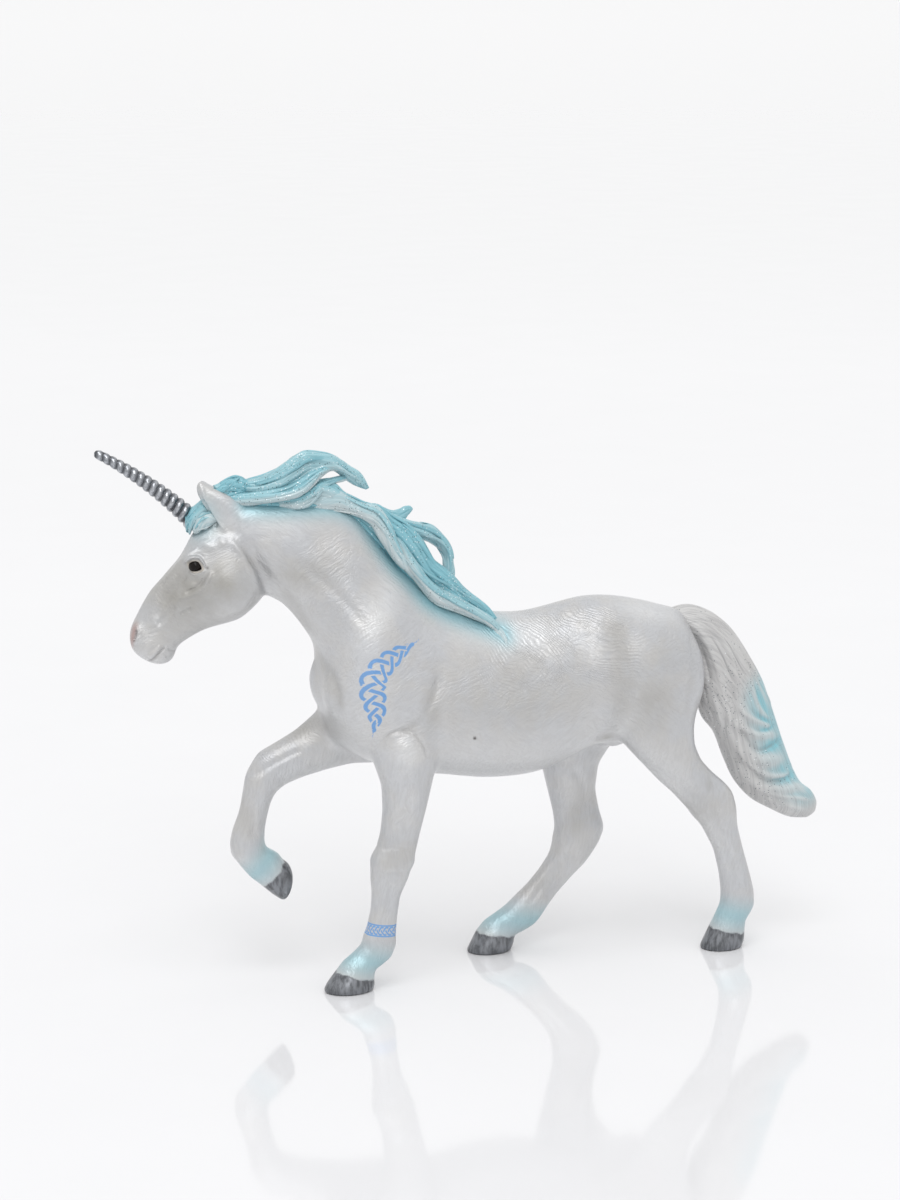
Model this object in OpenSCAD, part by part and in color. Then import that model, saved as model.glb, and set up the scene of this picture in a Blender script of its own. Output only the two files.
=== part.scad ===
// Walking unicorn figure, moulded in separate solid pieces that plug together with round pegs.
// The head points to -X, the left side is -Y, +Z is up and the hooves stand on z = 0.

/* [Body] */
// Height of the withers above the ground
withers_h = 80; // [72:1:90]
// Length of the trunk, from the breast to the buttocks
trunk_l = 91; // [84:1:100]
// Width of the barrel at its widest
trunk_w = 28; // [26:1:31]
// Height of the muscle that fills each side of the breast
breast_h = 19; // [16:1:21]
// Height of the fold of skin under the flank
fold_h = 3.4; // [2.8:0.2:4]
// Height of the muscle that rounds each buttock
buttock_h = 27; // [22:1:30]

/* [Legs] */
// Distance between the tracks of the left and the right hooves
track_w = 16; // [15:0.5:17]
// Width of a knee or hock from side to side
knee_w = 7; // [6:0.25:8]

/* [Head] */
// Length of the head, from the poll to the upper lip
head_l = 37; // [34:1:40]
// Width of the head across the eyes
head_w = 12.6; // [11:0.2:14]
// Turn of the head to the figure's right, in degrees
head_turn = 18; // [12:1:22]
// Lean of the top of the head to the figure's right, in degrees
head_lean = 8; // [4:1:10]
// Diameter of an eyeball
eye_d = 2.8; // [2.2:0.1:3.2]
// Length of an ear from its foot to its tip
ear_l = 9.5; // [8:0.5:11]
// Width of an ear at its middle
ear_w = 4.6; // [4:0.2:5.4]
// Thickness of an ear from side to side
ear_t = 3.4; // [3:0.2:4]

/* [Horn] */
// Length of the horn from the forehead to the tip
horn_l = 26; // [20:1:30]
// Diameter of the horn where it leaves the forehead
horn_d = 4.6; // [4.2:0.1:5]
// Diameter of the horn's blunt tip
horn_tip_d = 1.9; // [1.4:0.1:2.4]
// Depth of the groove between two turns of the horn
horn_groove = 0.35; // [0.2:0.05:0.5]
// Number of turns of the horn's groove
horn_turns = 16; // [12:1:18]
// Angle at which the horn leaves the forehead, above the head's own level, in degrees
horn_rise = 45; // [41:1:49]
// Angle that the horn bends down toward its tip, in degrees
horn_bend = 19; // [12:1:24]

/* [Hair] */
// Thickness of the thickest lock of the mane
mane_t = 7; // [6:0.5:8]
// Width of the tail from side to side
tail_w = 9.4; // [8:0.2:11]
// Depth of the grooves between the strands, as a share of a lock's size
groove_share = 0.1; // [0.05:0.01:0.16]

/* [Joints] */
// Diameter of the peg on the neck
neck_peg_d = 8; // [6:0.5:9]
// Length of the peg on the neck
neck_peg_l = 8; // [6:0.5:10]
// Diameter of the peg on a leg
leg_peg_d = 4; // [3.4:0.2:4.4]
// Length of the peg on a leg
leg_peg_l = 5; // [4:0.5:6]
// Diameter of the pegs under the hair pieces and the horn
hair_peg_d = 2.2; // [1.8:0.1:2.4]
// Length of the pegs under the hair pieces and the horn
hair_peg_l = 3.5; // [3:0.25:4]
// Glue gap round a peg and at a seam
glue_gap = 0.1; // [0.05:0.01:0.2]

/* [Hidden] */

// Where the withers, the trunk's ends and the barrel's sides lie on the drawing plan
withers_share = 0.8;
trunk_share = 0.91;
barrel_share = 0.28;
plan_h = withers_h / withers_share;
plan_l = trunk_l / trunk_share;
plan_w = trunk_w / barrel_share;
// Middle of the whole figure on the plan, which becomes the origin
middle_x_share = 0.016;
middle_y_share = 0.007;
// How far a cutting tool runs past the solid that it cuts
overrun = 1;
// Points round a body, a leg, the head, a lock of hair, the horn, the tail, a pad and a peg
body_n = 24;
leg_n = 16;
head_n = 18;
lock_n = 10;
horn_n = 8;
tail_n = 24;
pad_n = 12;
peg_n = 32;
// Rows added between two rows of a table
body_steps = 2;
leg_steps = 1;
lock_steps = 2;
// Rings in one turn of the horn's groove
turn_rings = 4;

// Rows of a table: x and z of the upper edge, x and z of the lower edge, place across, half width,
// and where it is given, how far the widest level drops below the middle
trunk_shares = [
    [0.515, 0.655, 0.512, 0.590, 0.000, 0.050, 0.0],
    [0.506, 0.695, 0.506, 0.545, 0.000, 0.088, 0.0],
    [0.487, 0.735, 0.490, 0.515, 0.000, 0.106, 0.0],
    [0.445, 0.772, 0.445, 0.490, 0.000, 0.120, 0.0],
    [0.380, 0.793, 0.385, 0.480, 0.000, 0.129, 0.0],
    [0.315, 0.806, 0.325, 0.478, 0.000, 0.132, 0.0],
    [0.250, 0.808, 0.255, 0.473, 0.000, 0.133, 0.0],
    [0.185, 0.797, 0.190, 0.446, 0.000, 0.136, 0.1],
    [0.120, 0.786, 0.125, 0.428, 0.000, 0.139, 0.15],
    [0.060, 0.788, 0.065, 0.424, 0.000, 0.140, 0.15],
    [0.000, 0.798, 0.000, 0.427, 0.000, 0.137, 0.15],
    [-0.050, 0.818, -0.080, 0.440, 0.000, 0.131, 0.15],
    [-0.090, 0.841, -0.170, 0.455, 0.000, 0.127, 0.2],
    [-0.125, 0.866, -0.250, 0.485, 0.000, 0.125, 0.2],
    [-0.155, 0.895, -0.310, 0.525, 0.000, 0.121, 0.25],
    [-0.180, 0.920, -0.338, 0.575, 0.000, 0.114, 0.3],
    [-0.205, 0.952, -0.350, 0.635, 0.000, 0.102, 0.3],
    [-0.235, 0.984, -0.352, 0.690, 0.000, 0.089, 0.3],
    [-0.270, 1.010, -0.358, 0.738, 0.002, 0.078, 0.25],
    [-0.315, 1.028, -0.380, 0.776, 0.006, 0.070, 0.2],
    [-0.365, 1.038, -0.403, 0.810, 0.011, 0.064, 0.15],
    [-0.413, 1.043, -0.430, 0.839, 0.016, 0.060, 0.1],
    [-0.460, 1.044, -0.462, 0.856, 0.022, 0.054, 0.0],
    [-0.502, 1.036, -0.492, 0.882, 0.025, 0.046, 0.0],
    [-0.548, 1.018, -0.520, 0.905, 0.031, 0.036, 0.0]];
// Row of that table at which the neck is parted from the trunk
neck_row = 18;

// Legs: the place across is a share of track_w and the half width a share of knee_w
left_fore_shares = [
    [-0.378, 0.000, -0.265, 0.000, -0.54, 0.60],
    [-0.366, 0.020, -0.262, 0.014, -0.54, 0.58],
    [-0.347, 0.045, -0.263, 0.024, -0.54, 0.49],
    [-0.330, 0.066, -0.260, 0.043, -0.54, 0.42],
    [-0.310, 0.080, -0.242, 0.052, -0.53, 0.39],
    [-0.287, 0.100, -0.221, 0.066, -0.53, 0.42],
    [-0.278, 0.130, -0.213, 0.098, -0.52, 0.40],
    [-0.268, 0.175, -0.208, 0.150, -0.52, 0.33],
    [-0.265, 0.212, -0.200, 0.200, -0.51, 0.34],
    [-0.268, 0.242, -0.182, 0.237, -0.51, 0.42],
    [-0.264, 0.285, -0.171, 0.275, -0.51, 0.50],
    [-0.254, 0.308, -0.162, 0.308, -0.51, 0.48],
    [-0.244, 0.342, -0.154, 0.342, -0.51, 0.49],
    [-0.238, 0.390, -0.142, 0.390, -0.51, 0.60],
    [-0.240, 0.445, -0.129, 0.445, -0.51, 0.70],
    [-0.256, 0.490, -0.115, 0.495, -0.50, 0.77],
    [-0.270, 0.545, -0.100, 0.550, -0.48, 0.74],
    [-0.250, 0.610, -0.110, 0.620, -0.44, 0.60]];
right_fore_shares = [
    [-0.414, 0.164, -0.395, 0.232, 0.50, 0.54],
    [-0.438, 0.182, -0.401, 0.248, 0.50, 0.55],
    [-0.461, 0.203, -0.413, 0.257, 0.50, 0.48],
    [-0.485, 0.223, -0.424, 0.273, 0.50, 0.42],
    [-0.506, 0.246, -0.434, 0.280, 0.50, 0.40],
    [-0.526, 0.276, -0.448, 0.284, 0.50, 0.43],
    [-0.532, 0.302, -0.454, 0.302, 0.50, 0.42],
    [-0.525, 0.335, -0.452, 0.330, 0.50, 0.36],
    [-0.511, 0.367, -0.446, 0.362, 0.50, 0.38],
    [-0.501, 0.408, -0.439, 0.390, 0.50, 0.46],
    [-0.492, 0.458, -0.428, 0.410, 0.50, 0.50],
    [-0.462, 0.498, -0.405, 0.425, 0.50, 0.49],
    [-0.422, 0.520, -0.365, 0.438, 0.50, 0.54],
    [-0.380, 0.543, -0.310, 0.450, 0.50, 0.62],
    [-0.345, 0.572, -0.255, 0.458, 0.50, 0.69],
    [-0.305, 0.602, -0.200, 0.455, 0.48, 0.72],
    [-0.240, 0.625, -0.130, 0.480, 0.45, 0.62]];
left_hind_shares = [
    [0.508, 0.000, 0.607, 0.000, -0.48, 0.57],
    [0.520, 0.024, 0.613, 0.018, -0.48, 0.55],
    [0.532, 0.050, 0.614, 0.036, -0.48, 0.47],
    [0.544, 0.073, 0.616, 0.059, -0.48, 0.41],
    [0.557, 0.103, 0.638, 0.090, -0.48, 0.43],
    [0.557, 0.131, 0.636, 0.128, -0.48, 0.41],
    [0.550, 0.175, 0.623, 0.178, -0.48, 0.34],
    [0.536, 0.230, 0.608, 0.226, -0.48, 0.35],
    [0.506, 0.286, 0.594, 0.276, -0.48, 0.40],
    [0.482, 0.316, 0.587, 0.320, -0.48, 0.46],
    [0.456, 0.344, 0.579, 0.360, -0.48, 0.50],
    [0.430, 0.372, 0.560, 0.382, -0.48, 0.46],
    [0.405, 0.394, 0.530, 0.408, -0.47, 0.48],
    [0.368, 0.434, 0.502, 0.438, -0.47, 0.60],
    [0.332, 0.472, 0.486, 0.476, -0.46, 0.73],
    [0.306, 0.506, 0.486, 0.516, -0.44, 0.82],
    [0.285, 0.575, 0.498, 0.580, -0.43, 0.88],
    [0.285, 0.655, 0.495, 0.660, -0.41, 0.86],
    [0.320, 0.725, 0.445, 0.735, -0.34, 0.62]];
right_hind_shares = [
    [0.009, 0.000, 0.112, 0.000, 0.47, 0.57],
    [0.021, 0.022, 0.119, 0.016, 0.47, 0.55],
    [0.033, 0.047, 0.122, 0.034, 0.47, 0.47],
    [0.052, 0.070, 0.148, 0.040, 0.47, 0.41],
    [0.080, 0.086, 0.172, 0.052, 0.47, 0.42],
    [0.100, 0.099, 0.187, 0.070, 0.47, 0.43],
    [0.126, 0.122, 0.202, 0.092, 0.47, 0.40],
    [0.152, 0.145, 0.226, 0.120, 0.47, 0.34],
    [0.180, 0.176, 0.260, 0.154, 0.47, 0.35],
    [0.202, 0.206, 0.293, 0.184, 0.47, 0.40],
    [0.214, 0.234, 0.322, 0.224, 0.47, 0.46],
    [0.218, 0.268, 0.336, 0.260, 0.47, 0.49],
    [0.213, 0.306, 0.324, 0.302, 0.47, 0.46],
    [0.202, 0.352, 0.313, 0.354, 0.47, 0.54],
    [0.189, 0.405, 0.320, 0.414, 0.47, 0.68],
    [0.176, 0.460, 0.355, 0.465, 0.45, 0.80],
    [0.185, 0.535, 0.420, 0.535, 0.43, 0.88],
    [0.220, 0.620, 0.470, 0.630, 0.41, 0.86],
    [0.280, 0.700, 0.430, 0.710, 0.35, 0.64]];

// Breast, buttock and fold of the flank: x and z of the middle, place across, half length and half width
breast_shares = [-0.286, 0.657, 0.046, 0.074, 0.060];
buttock_shares = [0.405, 0.605, 0.060, 0.088, 0.056];
fold_shares = [0.325, 0.480, 0.000, 0.030, 0.022];

// Seams: the outline of the part of each leg that is a piece of its own. The left foreleg's ends in a
// round crown on the shoulder, given by its centre and radius
left_fore_crown_shares = [-0.193, 0.487, 0.068];
left_fore_seam_shares = [
    for (a = [0 : 15 : 180]) [left_fore_crown_shares[0] + left_fore_crown_shares[2] * cos(a),
                              left_fore_crown_shares[1] + left_fore_crown_shares[2] * sin(a)],
    [-0.262, 0.425], [-0.450, 0.400], [-0.450, -0.05], [-0.100, -0.05], [-0.100, 0.400], [-0.122, 0.425]];
right_fore_seam_shares = [
    [-0.326, 0.592], [-0.296, 0.500], [-0.285, 0.420], [-0.300, 0.050], [-0.600, 0.050], [-0.600, 0.560],
    [-0.340, 0.604]];
left_hind_seam_shares = [
    [0.296, 0.506], [0.500, 0.517], [0.570, 0.460], [0.720, 0.460], [0.720, -0.05], [0.440, -0.05],
    [0.440, 0.300], [0.350, 0.420]];
right_hind_seam_shares = [
    [0.178, 0.440], [0.350, 0.445], [0.400, 0.300], [0.400, 0.150], [0.300, -0.05], [-0.050, -0.05],
    [0.150, 0.300]];
// How far from the middle of the figure each leg's seam starts, as a share of track_w
fore_seat_share = 0.20;
hind_seat_share = 0.10;
// How far outside the middle the seam's outline reaches, as a share of trunk_w
side_reach_share = 0.6;

// Pegs of the legs: x and z of each peg's foot, place across as a share of track_w, and the angle
// above +X at which the peg points into the trunk
left_fore_peg_shares = [-0.193, 0.500];
right_fore_peg_shares = [-0.309, 0.530, 0.49];
right_fore_peg_angle = 20;
left_hind_peg_shares = [0.397, 0.511, -0.44];
left_hind_peg_angle = 93;
right_hind_peg_shares = [0.262, 0.442, 0.46];
right_hind_peg_angle = 90;

// Head, in its own frame with the origin at the poll: x and z of the forehead's edge, x and z of the
// jaw's edge as shares of head_l, half width as a share of head_w
poll_shares = [-0.500, 0.980, 0.025];
head_shares = [
    [-0.081, 0.149, 0.095, -0.338, 0, 0.41, 0.1],
    [-0.189, 0.130, 0.059, -0.378, 0, 0.46, 0.1],
    [-0.284, 0.059, -0.032, -0.459, 0, 0.49, 0.0],
    [-0.332, -0.027, -0.135, -0.492, 0, 0.50, -0.1],
    [-0.378, -0.108, -0.232, -0.519, 0, 0.44, -0.2],
    [-0.432, -0.168, -0.311, -0.559, 0, 0.38, -0.1],
    [-0.486, -0.230, -0.368, -0.595, 0, 0.33, 0.0],
    [-0.541, -0.289, -0.403, -0.627, 0, 0.31, 0.0],
    [-0.589, -0.365, -0.411, -0.670, 0, 0.30, 0.0],
    [-0.627, -0.438, -0.438, -0.703, 0, 0.31, 0.0],
    [-0.659, -0.508, -0.486, -0.719, 0, 0.32, -0.1],
    [-0.665, -0.576, -0.541, -0.708, 0, 0.285, -0.1],
    [-0.649, -0.632, -0.595, -0.681, 0, 0.175, 0.0]];
// Mouth: x and z where its slit leaves the lips and where it ends, and its height
mouth_shares = [-0.600, -0.708, -0.465, -0.603];
mouth_gap_share = 0.010;
// Nostril: place, how far out it lies, and its half length, half width and half height
nostril_shares = [-0.640, -0.532, 0.190, 0.018, 0.080, 0.036];
// Eye: place, and how far out the eyeball's centre lies
eye_shares = [-0.281, -0.154, 0.368];
// Brow and cheek: place, how far out, and half length, half width and half height
brow_shares = [-0.285, -0.112, 0.355, 0.066, 0.115, 0.048];
cheek_shares = [-0.120, -0.270, 0.360, 0.180, 0.170, 0.185];

// Ear, upright in its own frame: front edge, back edge and half thickness, as shares of ear_w, ear_l
// and ear_t
ear_shares = [
    [-0.59, -0.08, 0.74, -0.22, 0, 0.38],
    [-0.48, 0.19, 0.69, 0.08, 0, 0.47],
    [-0.39, 0.49, 0.49, 0.31, 0, 0.50],
    [-0.38, 0.72, 0.33, 0.57, 0, 0.40],
    [-0.32, 0.89, 0.20, 0.80, 0, 0.26],
    [-0.14, 0.99, 0.06, 0.965, 0, 0.10]];
// Foot of the ear on the head, how far out it stands and its slant forward in degrees
ear_foot_shares = [-0.103, 0.103, 0.250];
ear_slant = 35;
// Hollow of the ear: place in the ear's frame, and half length, half width and half height
ear_hollow_shares = [-0.30, 0.42, -0.42, 0.30, 0.34, 0.40];

// Horn: foot of its axis on the forehead
horn_foot_shares = [-0.276, 0.072];

// Locks of hair: x and z of the two edges, place across, and half thickness as a share of mane_t
crest_lock_shares = [
    [-0.553, 1.075, -0.533, 1.049, 0.048, 0.16],
    [-0.529, 1.088, -0.504, 1.028, 0.044, 0.29],
    [-0.496, 1.102, -0.476, 1.018, 0.038, 0.37],
    [-0.458, 1.109, -0.443, 1.018, 0.032, 0.41],
    [-0.421, 1.125, -0.405, 1.021, 0.026, 0.43],
    [-0.388, 1.147, -0.373, 1.040, 0.020, 0.41],
    [-0.350, 1.150, -0.347, 1.071, 0.015, 0.36],
    [-0.311, 1.140, -0.316, 1.109, 0.010, 0.31],
    [-0.282, 1.125, -0.292, 1.094, 0.007, 0.28],
    [-0.261, 1.111, -0.279, 1.085, 0.004, 0.24],
    [-0.247, 1.095, -0.262, 1.076, 0.001, 0.16],
    [-0.236, 1.075, -0.243, 1.072, -0.002, 0.06]];
middle_lock_shares = [
    [-0.451, 1.089, -0.446, 1.034, 0.024, 0.30],
    [-0.413, 1.097, -0.413, 1.025, 0.018, 0.40],
    [-0.371, 1.101, -0.371, 1.023, 0.012, 0.44],
    [-0.332, 1.098, -0.332, 1.018, 0.007, 0.41],
    [-0.302, 1.084, -0.302, 1.015, 0.003, 0.36],
    [-0.288, 1.066, -0.290, 1.018, 0.000, 0.22]];
wither_lock_shares = [
    [-0.286, 1.062, -0.284, 1.020, -0.010, 0.22],
    [-0.258, 1.046, -0.254, 1.000, -0.012, 0.36],
    [-0.221, 1.034, -0.227, 0.950, -0.014, 0.46],
    [-0.182, 1.007, -0.202, 0.913, -0.018, 0.50],
    [-0.142, 0.972, -0.172, 0.884, -0.022, 0.50],
    [-0.114, 0.911, -0.144, 0.853, -0.026, 0.48],
    [-0.076, 0.882, -0.115, 0.826, -0.031, 0.46],
    [-0.036, 0.851, -0.073, 0.809, -0.038, 0.42],
    [0.003, 0.817, -0.026, 0.787, -0.046, 0.36],
    [0.033, 0.790, 0.010, 0.773, -0.056, 0.28],
    [0.045, 0.765, 0.032, 0.757, -0.066, 0.12]];
curl_lock_shares = [
    [-0.185, 1.014, -0.185, 0.965, 0.000, 0.24],
    [-0.140, 0.998, -0.140, 0.958, 0.003, 0.28],
    [-0.098, 0.985, -0.108, 0.952, 0.005, 0.30],
    [-0.068, 0.962, -0.090, 0.941, 0.004, 0.28],
    [-0.052, 0.930, -0.075, 0.920, 0.002, 0.27],
    [-0.048, 0.897, -0.073, 0.893, -0.004, 0.27],
    [-0.052, 0.868, -0.080, 0.868, -0.014, 0.26],
    [-0.050, 0.840, -0.078, 0.846, -0.024, 0.20]];
spike_lock_shares = [
    [-0.215, 1.034, -0.208, 0.985, 0.004, 0.20],
    [-0.175, 1.020, -0.172, 0.990, 0.007, 0.20],
    [-0.152, 1.026, -0.150, 1.004, 0.009, 0.14],
    [-0.137, 1.024, -0.140, 1.016, 0.010, 0.06]];
// Locks of the forelock, in the head's frame
tuft_lock_shares = [
    [-0.108, 0.205, -0.122, 0.120, 0.00, 0.22],
    [-0.189, 0.222, -0.203, 0.108, 0.00, 0.37],
    [-0.251, 0.214, -0.268, 0.065, 0.00, 0.44],
    [-0.297, 0.184, -0.316, 0.027, 0.00, 0.43],
    [-0.330, 0.151, -0.335, 0.032, 0.00, 0.31]];
side_lock_shares = [
    [-0.200, 0.170, -0.168, 0.097, -0.24, 0.13],
    [-0.243, 0.157, -0.200, 0.070, -0.25, 0.16],
    [-0.276, 0.124, -0.232, 0.043, -0.25, 0.16],
    [-0.297, 0.076, -0.270, 0.024, -0.23, 0.13],
    [-0.303, 0.038, -0.292, 0.022, -0.21, 0.06]];

// Tail: outer edge, inner edge, place across, and half width as a share of tail_w
tail_shares = [
    [0.470, 0.772, 0.472, 0.725, 0.000, 0.26],
    [0.510, 0.768, 0.495, 0.700, 0.000, 0.38],
    [0.560, 0.745, 0.522, 0.668, 0.000, 0.44],
    [0.605, 0.708, 0.533, 0.622, 0.000, 0.47],
    [0.645, 0.650, 0.538, 0.572, 0.000, 0.49],
    [0.680, 0.590, 0.551, 0.524, 0.000, 0.50],
    [0.705, 0.522, 0.571, 0.473, 0.000, 0.50],
    [0.730, 0.455, 0.593, 0.414, 0.000, 0.49],
    [0.756, 0.390, 0.620, 0.360, 0.000, 0.46],
    [0.780, 0.345, 0.660, 0.316, 0.000, 0.41],
    [0.808, 0.322, 0.710, 0.286, 0.000, 0.34],
    [0.823, 0.296, 0.755, 0.264, 0.000, 0.24],
    [0.822, 0.276, 0.795, 0.258, 0.000, 0.12]];
tail_flutes = 6;
tail_twist = 150;
lock_flutes = 4;
lock_twist = 60;

// Pegs of the hair: x and z of the peg's foot, place across, and the angle above +X at which it points
mane_upper_peg_shares = [[-0.455, 1.042, 0.022], [-0.360, 1.036, 0.011]];
mane_upper_peg_angle = 268;
mane_lower_peg_shares = [[-0.215, 0.960, -0.004], [-0.085, 0.836, -0.012]];
mane_lower_peg_angle = 238;
tail_peg_shares = [0.485, 0.738, 0.000];
tail_peg_angle = 200;

// Smooth row between rows b and c of a table, at the share t of the way
function between(a, b, c, d, t) =
    b + t / 2 * (c - a + t * (2 * a - 5 * b + 4 * c - d + t * (3 * (b - c) + d - a)));

// A table with smooth rows added between its own
function smooth(rows, steps) = [
    for (i = [0 : len(rows) - 2], k = [0 : steps - 1])
        between(rows[max(i - 1, 0)], rows[i], rows[i + 1], rows[min(i + 2, len(rows) - 1)], k / steps),
    rows[len(rows) - 1]];

// Rows of shares as rows of sizes, measured along x, up z and across
function sized(rows, l, h, y, w) = [
    for (r = rows) [r[0] * l, r[1] * h, r[2] * l, r[3] * h, r[4] * y, r[5] * w, len(r) > 6 ? r[6] : 0]];

// Rows of shares of the plan, with the widths as shares of w and the places across as shares of y
function on_plan(rows, y, w) = [
    for (r = sized(rows, plan_l, plan_h, y, w))
        r - [middle_x_share * plan_l, 0, middle_x_share * plan_l, 0, middle_y_share * plan_w, 0, 0]];

// Place on the plan, along and up, and place in space with its place across as a share of a width
function spot(at) = [(at[0] - middle_x_share) * plan_l, at[1] * plan_h];
function place(at, width) = [spot(at)[0], at[2] * width - middle_y_share * plan_w, spot(at)[1]];

// Middle of a row, half of the way from its lower to its upper edge
function row_middle(r) = [(r[0] + r[2]) / 2, r[4], (r[1] + r[3]) / 2];
function row_half(r) = [(r[0] - r[2]) / 2, 0, (r[1] - r[3]) / 2];

// Ring of n points round a row, with grooves: their number, their depth as a share and their turn
function ring(r, n, flutes, depth, turn) = [
    for (k = [0 : n - 1])
        let (t = 360 * k / n, swell = 1 - depth * (1 - cos(flutes * t + turn)) / 2)
            row_middle(r) + swell * cos(t) * row_half(r)
                + [0, swell * sin(t) * r[5] * (1 - r[6] * cos(t)), 0]];

// Faces of a loft through equal rings of n points, with their outer sides facing out
function loft_faces(rings, n, turned) =
    let (faces = concat(
        [[for (k = [0 : n - 1]) k]],
        [for (i = [0 : rings - 2], k = [0 : n - 1]) let (j = (k + 1) % n)
            each [[i * n + k, (i + 1) * n + k, i * n + j], [i * n + j, (i + 1) * n + k, (i + 1) * n + j]]],
        [[for (k = [n - 1 : -1 : 0]) (rings - 1) * n + k]]))
    turned ? [for (f = faces) [for (k = [len(f) - 1 : -1 : 0]) f[k]]] : faces;

// Whether a table runs against the turn of its rings
function runs_back(rows) =
    cross(row_half(rows[0]), [0, 1, 0]) * (row_middle(rows[1]) - row_middle(rows[0])) < 0;

// Solid through the rings round a table's rows
module loft(rows, n, flutes = 0, depth = 0, twist = 0) {
    rings = [for (i = [0 : len(rows) - 1]) ring(rows[i], n, flutes, depth, twist * i / len(rows))];
    polyhedron([for (r = rings) each r], loft_faces(len(rows), n, runs_back(rows)), 10);
}

module lock(rows) {
    loft(smooth(rows, lock_steps), lock_n, lock_flutes, 2 * groove_share, lock_twist);
}

// Rows made larger all round by a gap
function grown(rows, gap) = [
    for (r = rows) let (u = row_half(r) / norm(row_half(r)))
        [r[0] + gap * u[0], r[1] + gap * u[2], r[2] - gap * u[0], r[3] - gap * u[2], r[4], r[5] + gap, r[6]]];

function rows_from(rows, first, last) = [for (i = [first : last]) rows[i]];

// Children as one moulded skin at their own size
module moulded() resize([0, 0, 0]) children();

// Round peg, or with a gap the hole that it sits in, from a foot on the plan along an angle above +X
module peg(at, angle, d, l, gap = 0) {
    translate(at) rotate([0, 90 - angle, 0]) translate([0, 0, -overrun])
        cylinder(d = d + 2 * gap, h = l + overrun + gap, $fn = peg_n);
}

// Prism across the figure from an outline on the plan, from the seat to beyond one side
module seam(outline, side, seat_share, gap = 0) {
    seat = seat_share * track_w - side * middle_y_share * plan_w - gap;
    reach = side_reach_share * trunk_w;
    translate([0, side > 0 ? reach : -seat, 0]) rotate([90, 0, 0])
        linear_extrude(reach - seat) offset(delta = gap)
            polygon([for (at = outline) spot(at)]);
}

// Ellipsoid at a place in the head's frame, on one side of it
module pad(at, side) {
    translate([at[0] * head_l, side * at[2] * head_w, at[1] * head_l])
        scale([at[3] * head_l, at[4] * head_w, at[5] * head_l]) sphere(r = 1, $fn = pad_n);
}

// Ellipsoid on the plan, on one side of the figure, with its height where that is a size of its own
module swelling(at, side, height) {
    translate(place([at[0], at[1], side * at[2]], plan_w))
        scale([at[3] * plan_l, at[4] * plan_w, height / 2]) sphere(r = 1, $fn = head_n);
}

trunk_rows = smooth(on_plan(trunk_shares, plan_w, plan_w), body_steps);
neck_ring = neck_row * body_steps;

module trunk_skin(gap = 0) loft(grown(rows_from(trunk_rows, 0, neck_ring), gap), body_n);

module neck_skin(gap = 0) loft(grown(rows_from(trunk_rows, neck_ring, len(trunk_rows) - 1), gap), body_n);

module limb(rows) loft(smooth(on_plan(rows, track_w, knee_w), leg_steps), leg_n);

module left_fore_seam(gap = 0) seam(left_fore_seam_shares, -1, fore_seat_share, gap);

module right_fore_seam(gap = 0) seam(right_fore_seam_shares, 1, fore_seat_share, gap);

module left_hind_seam(gap = 0) seam(left_hind_seam_shares, -1, hind_seat_share, gap);

module right_hind_seam(gap = 0) seam(right_hind_seam_shares, 1, hind_seat_share, gap);

module left_fore_peg(gap = 0) {
    at = [left_fore_peg_shares[0], left_fore_peg_shares[1], -fore_seat_share];
    translate(place(at, track_w)) rotate([-90, 0, 0]) translate([0, 0, -overrun])
        cylinder(d = leg_peg_d + 2 * gap, h = leg_peg_l + overrun + gap, $fn = peg_n);
}

module right_fore_peg(gap = 0)
    peg(place(right_fore_peg_shares, track_w), right_fore_peg_angle, leg_peg_d, leg_peg_l, gap);

module left_hind_peg(gap = 0)
    peg(place(left_hind_peg_shares, track_w), left_hind_peg_angle, leg_peg_d, leg_peg_l, gap);

module right_hind_peg(gap = 0)
    peg(place(right_hind_peg_shares, track_w), right_hind_peg_angle, leg_peg_d, leg_peg_l, gap);

// Peg of the neck, square to the flat face at which the neck is parted from the trunk
module neck_peg(gap = 0) {
    face = trunk_rows[neck_ring];
    slope = atan2(face[1] - face[3], face[0] - face[2]);
    peg(row_middle(face), slope - 90, neck_peg_d, neck_peg_l, gap);
}

module mane_upper_pegs(gap = 0)
    for (at = mane_upper_peg_shares)
        peg(place(at, plan_w), mane_upper_peg_angle, hair_peg_d, hair_peg_l, gap);

module mane_lower_pegs(gap = 0)
    for (at = mane_lower_peg_shares)
        peg(place(at, plan_w), mane_lower_peg_angle, hair_peg_d, hair_peg_l, gap);

module tail_peg(gap = 0) peg(place(tail_peg_shares, plan_w), tail_peg_angle, hair_peg_d, hair_peg_l, gap);

// The head's own frame: origin at the poll, muzzle to -X, turned and leant as the head is
module in_head() {
    translate(place(poll_shares, plan_w)) rotate([0, 0, -head_turn]) rotate([-head_lean, 0, 0]) children();
}

// The head's plain form, in its own frame
module skull(gap = 0)
    loft(grown(smooth(sized(head_shares, head_l, head_l, head_w, head_w), body_steps), gap), head_n);

module head_skin(gap = 0) {
    in_head() {
        skull(gap);
        for (side = [-1, 1]) {
            pad(cheek_shares, side);
            pad(brow_shares, side);
            translate([eye_shares[0] * head_l, side * eye_shares[2] * head_w, eye_shares[1] * head_l])
                sphere(d = eye_d, $fn = pad_n);
            ear(side);
        }
    }
}

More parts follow.
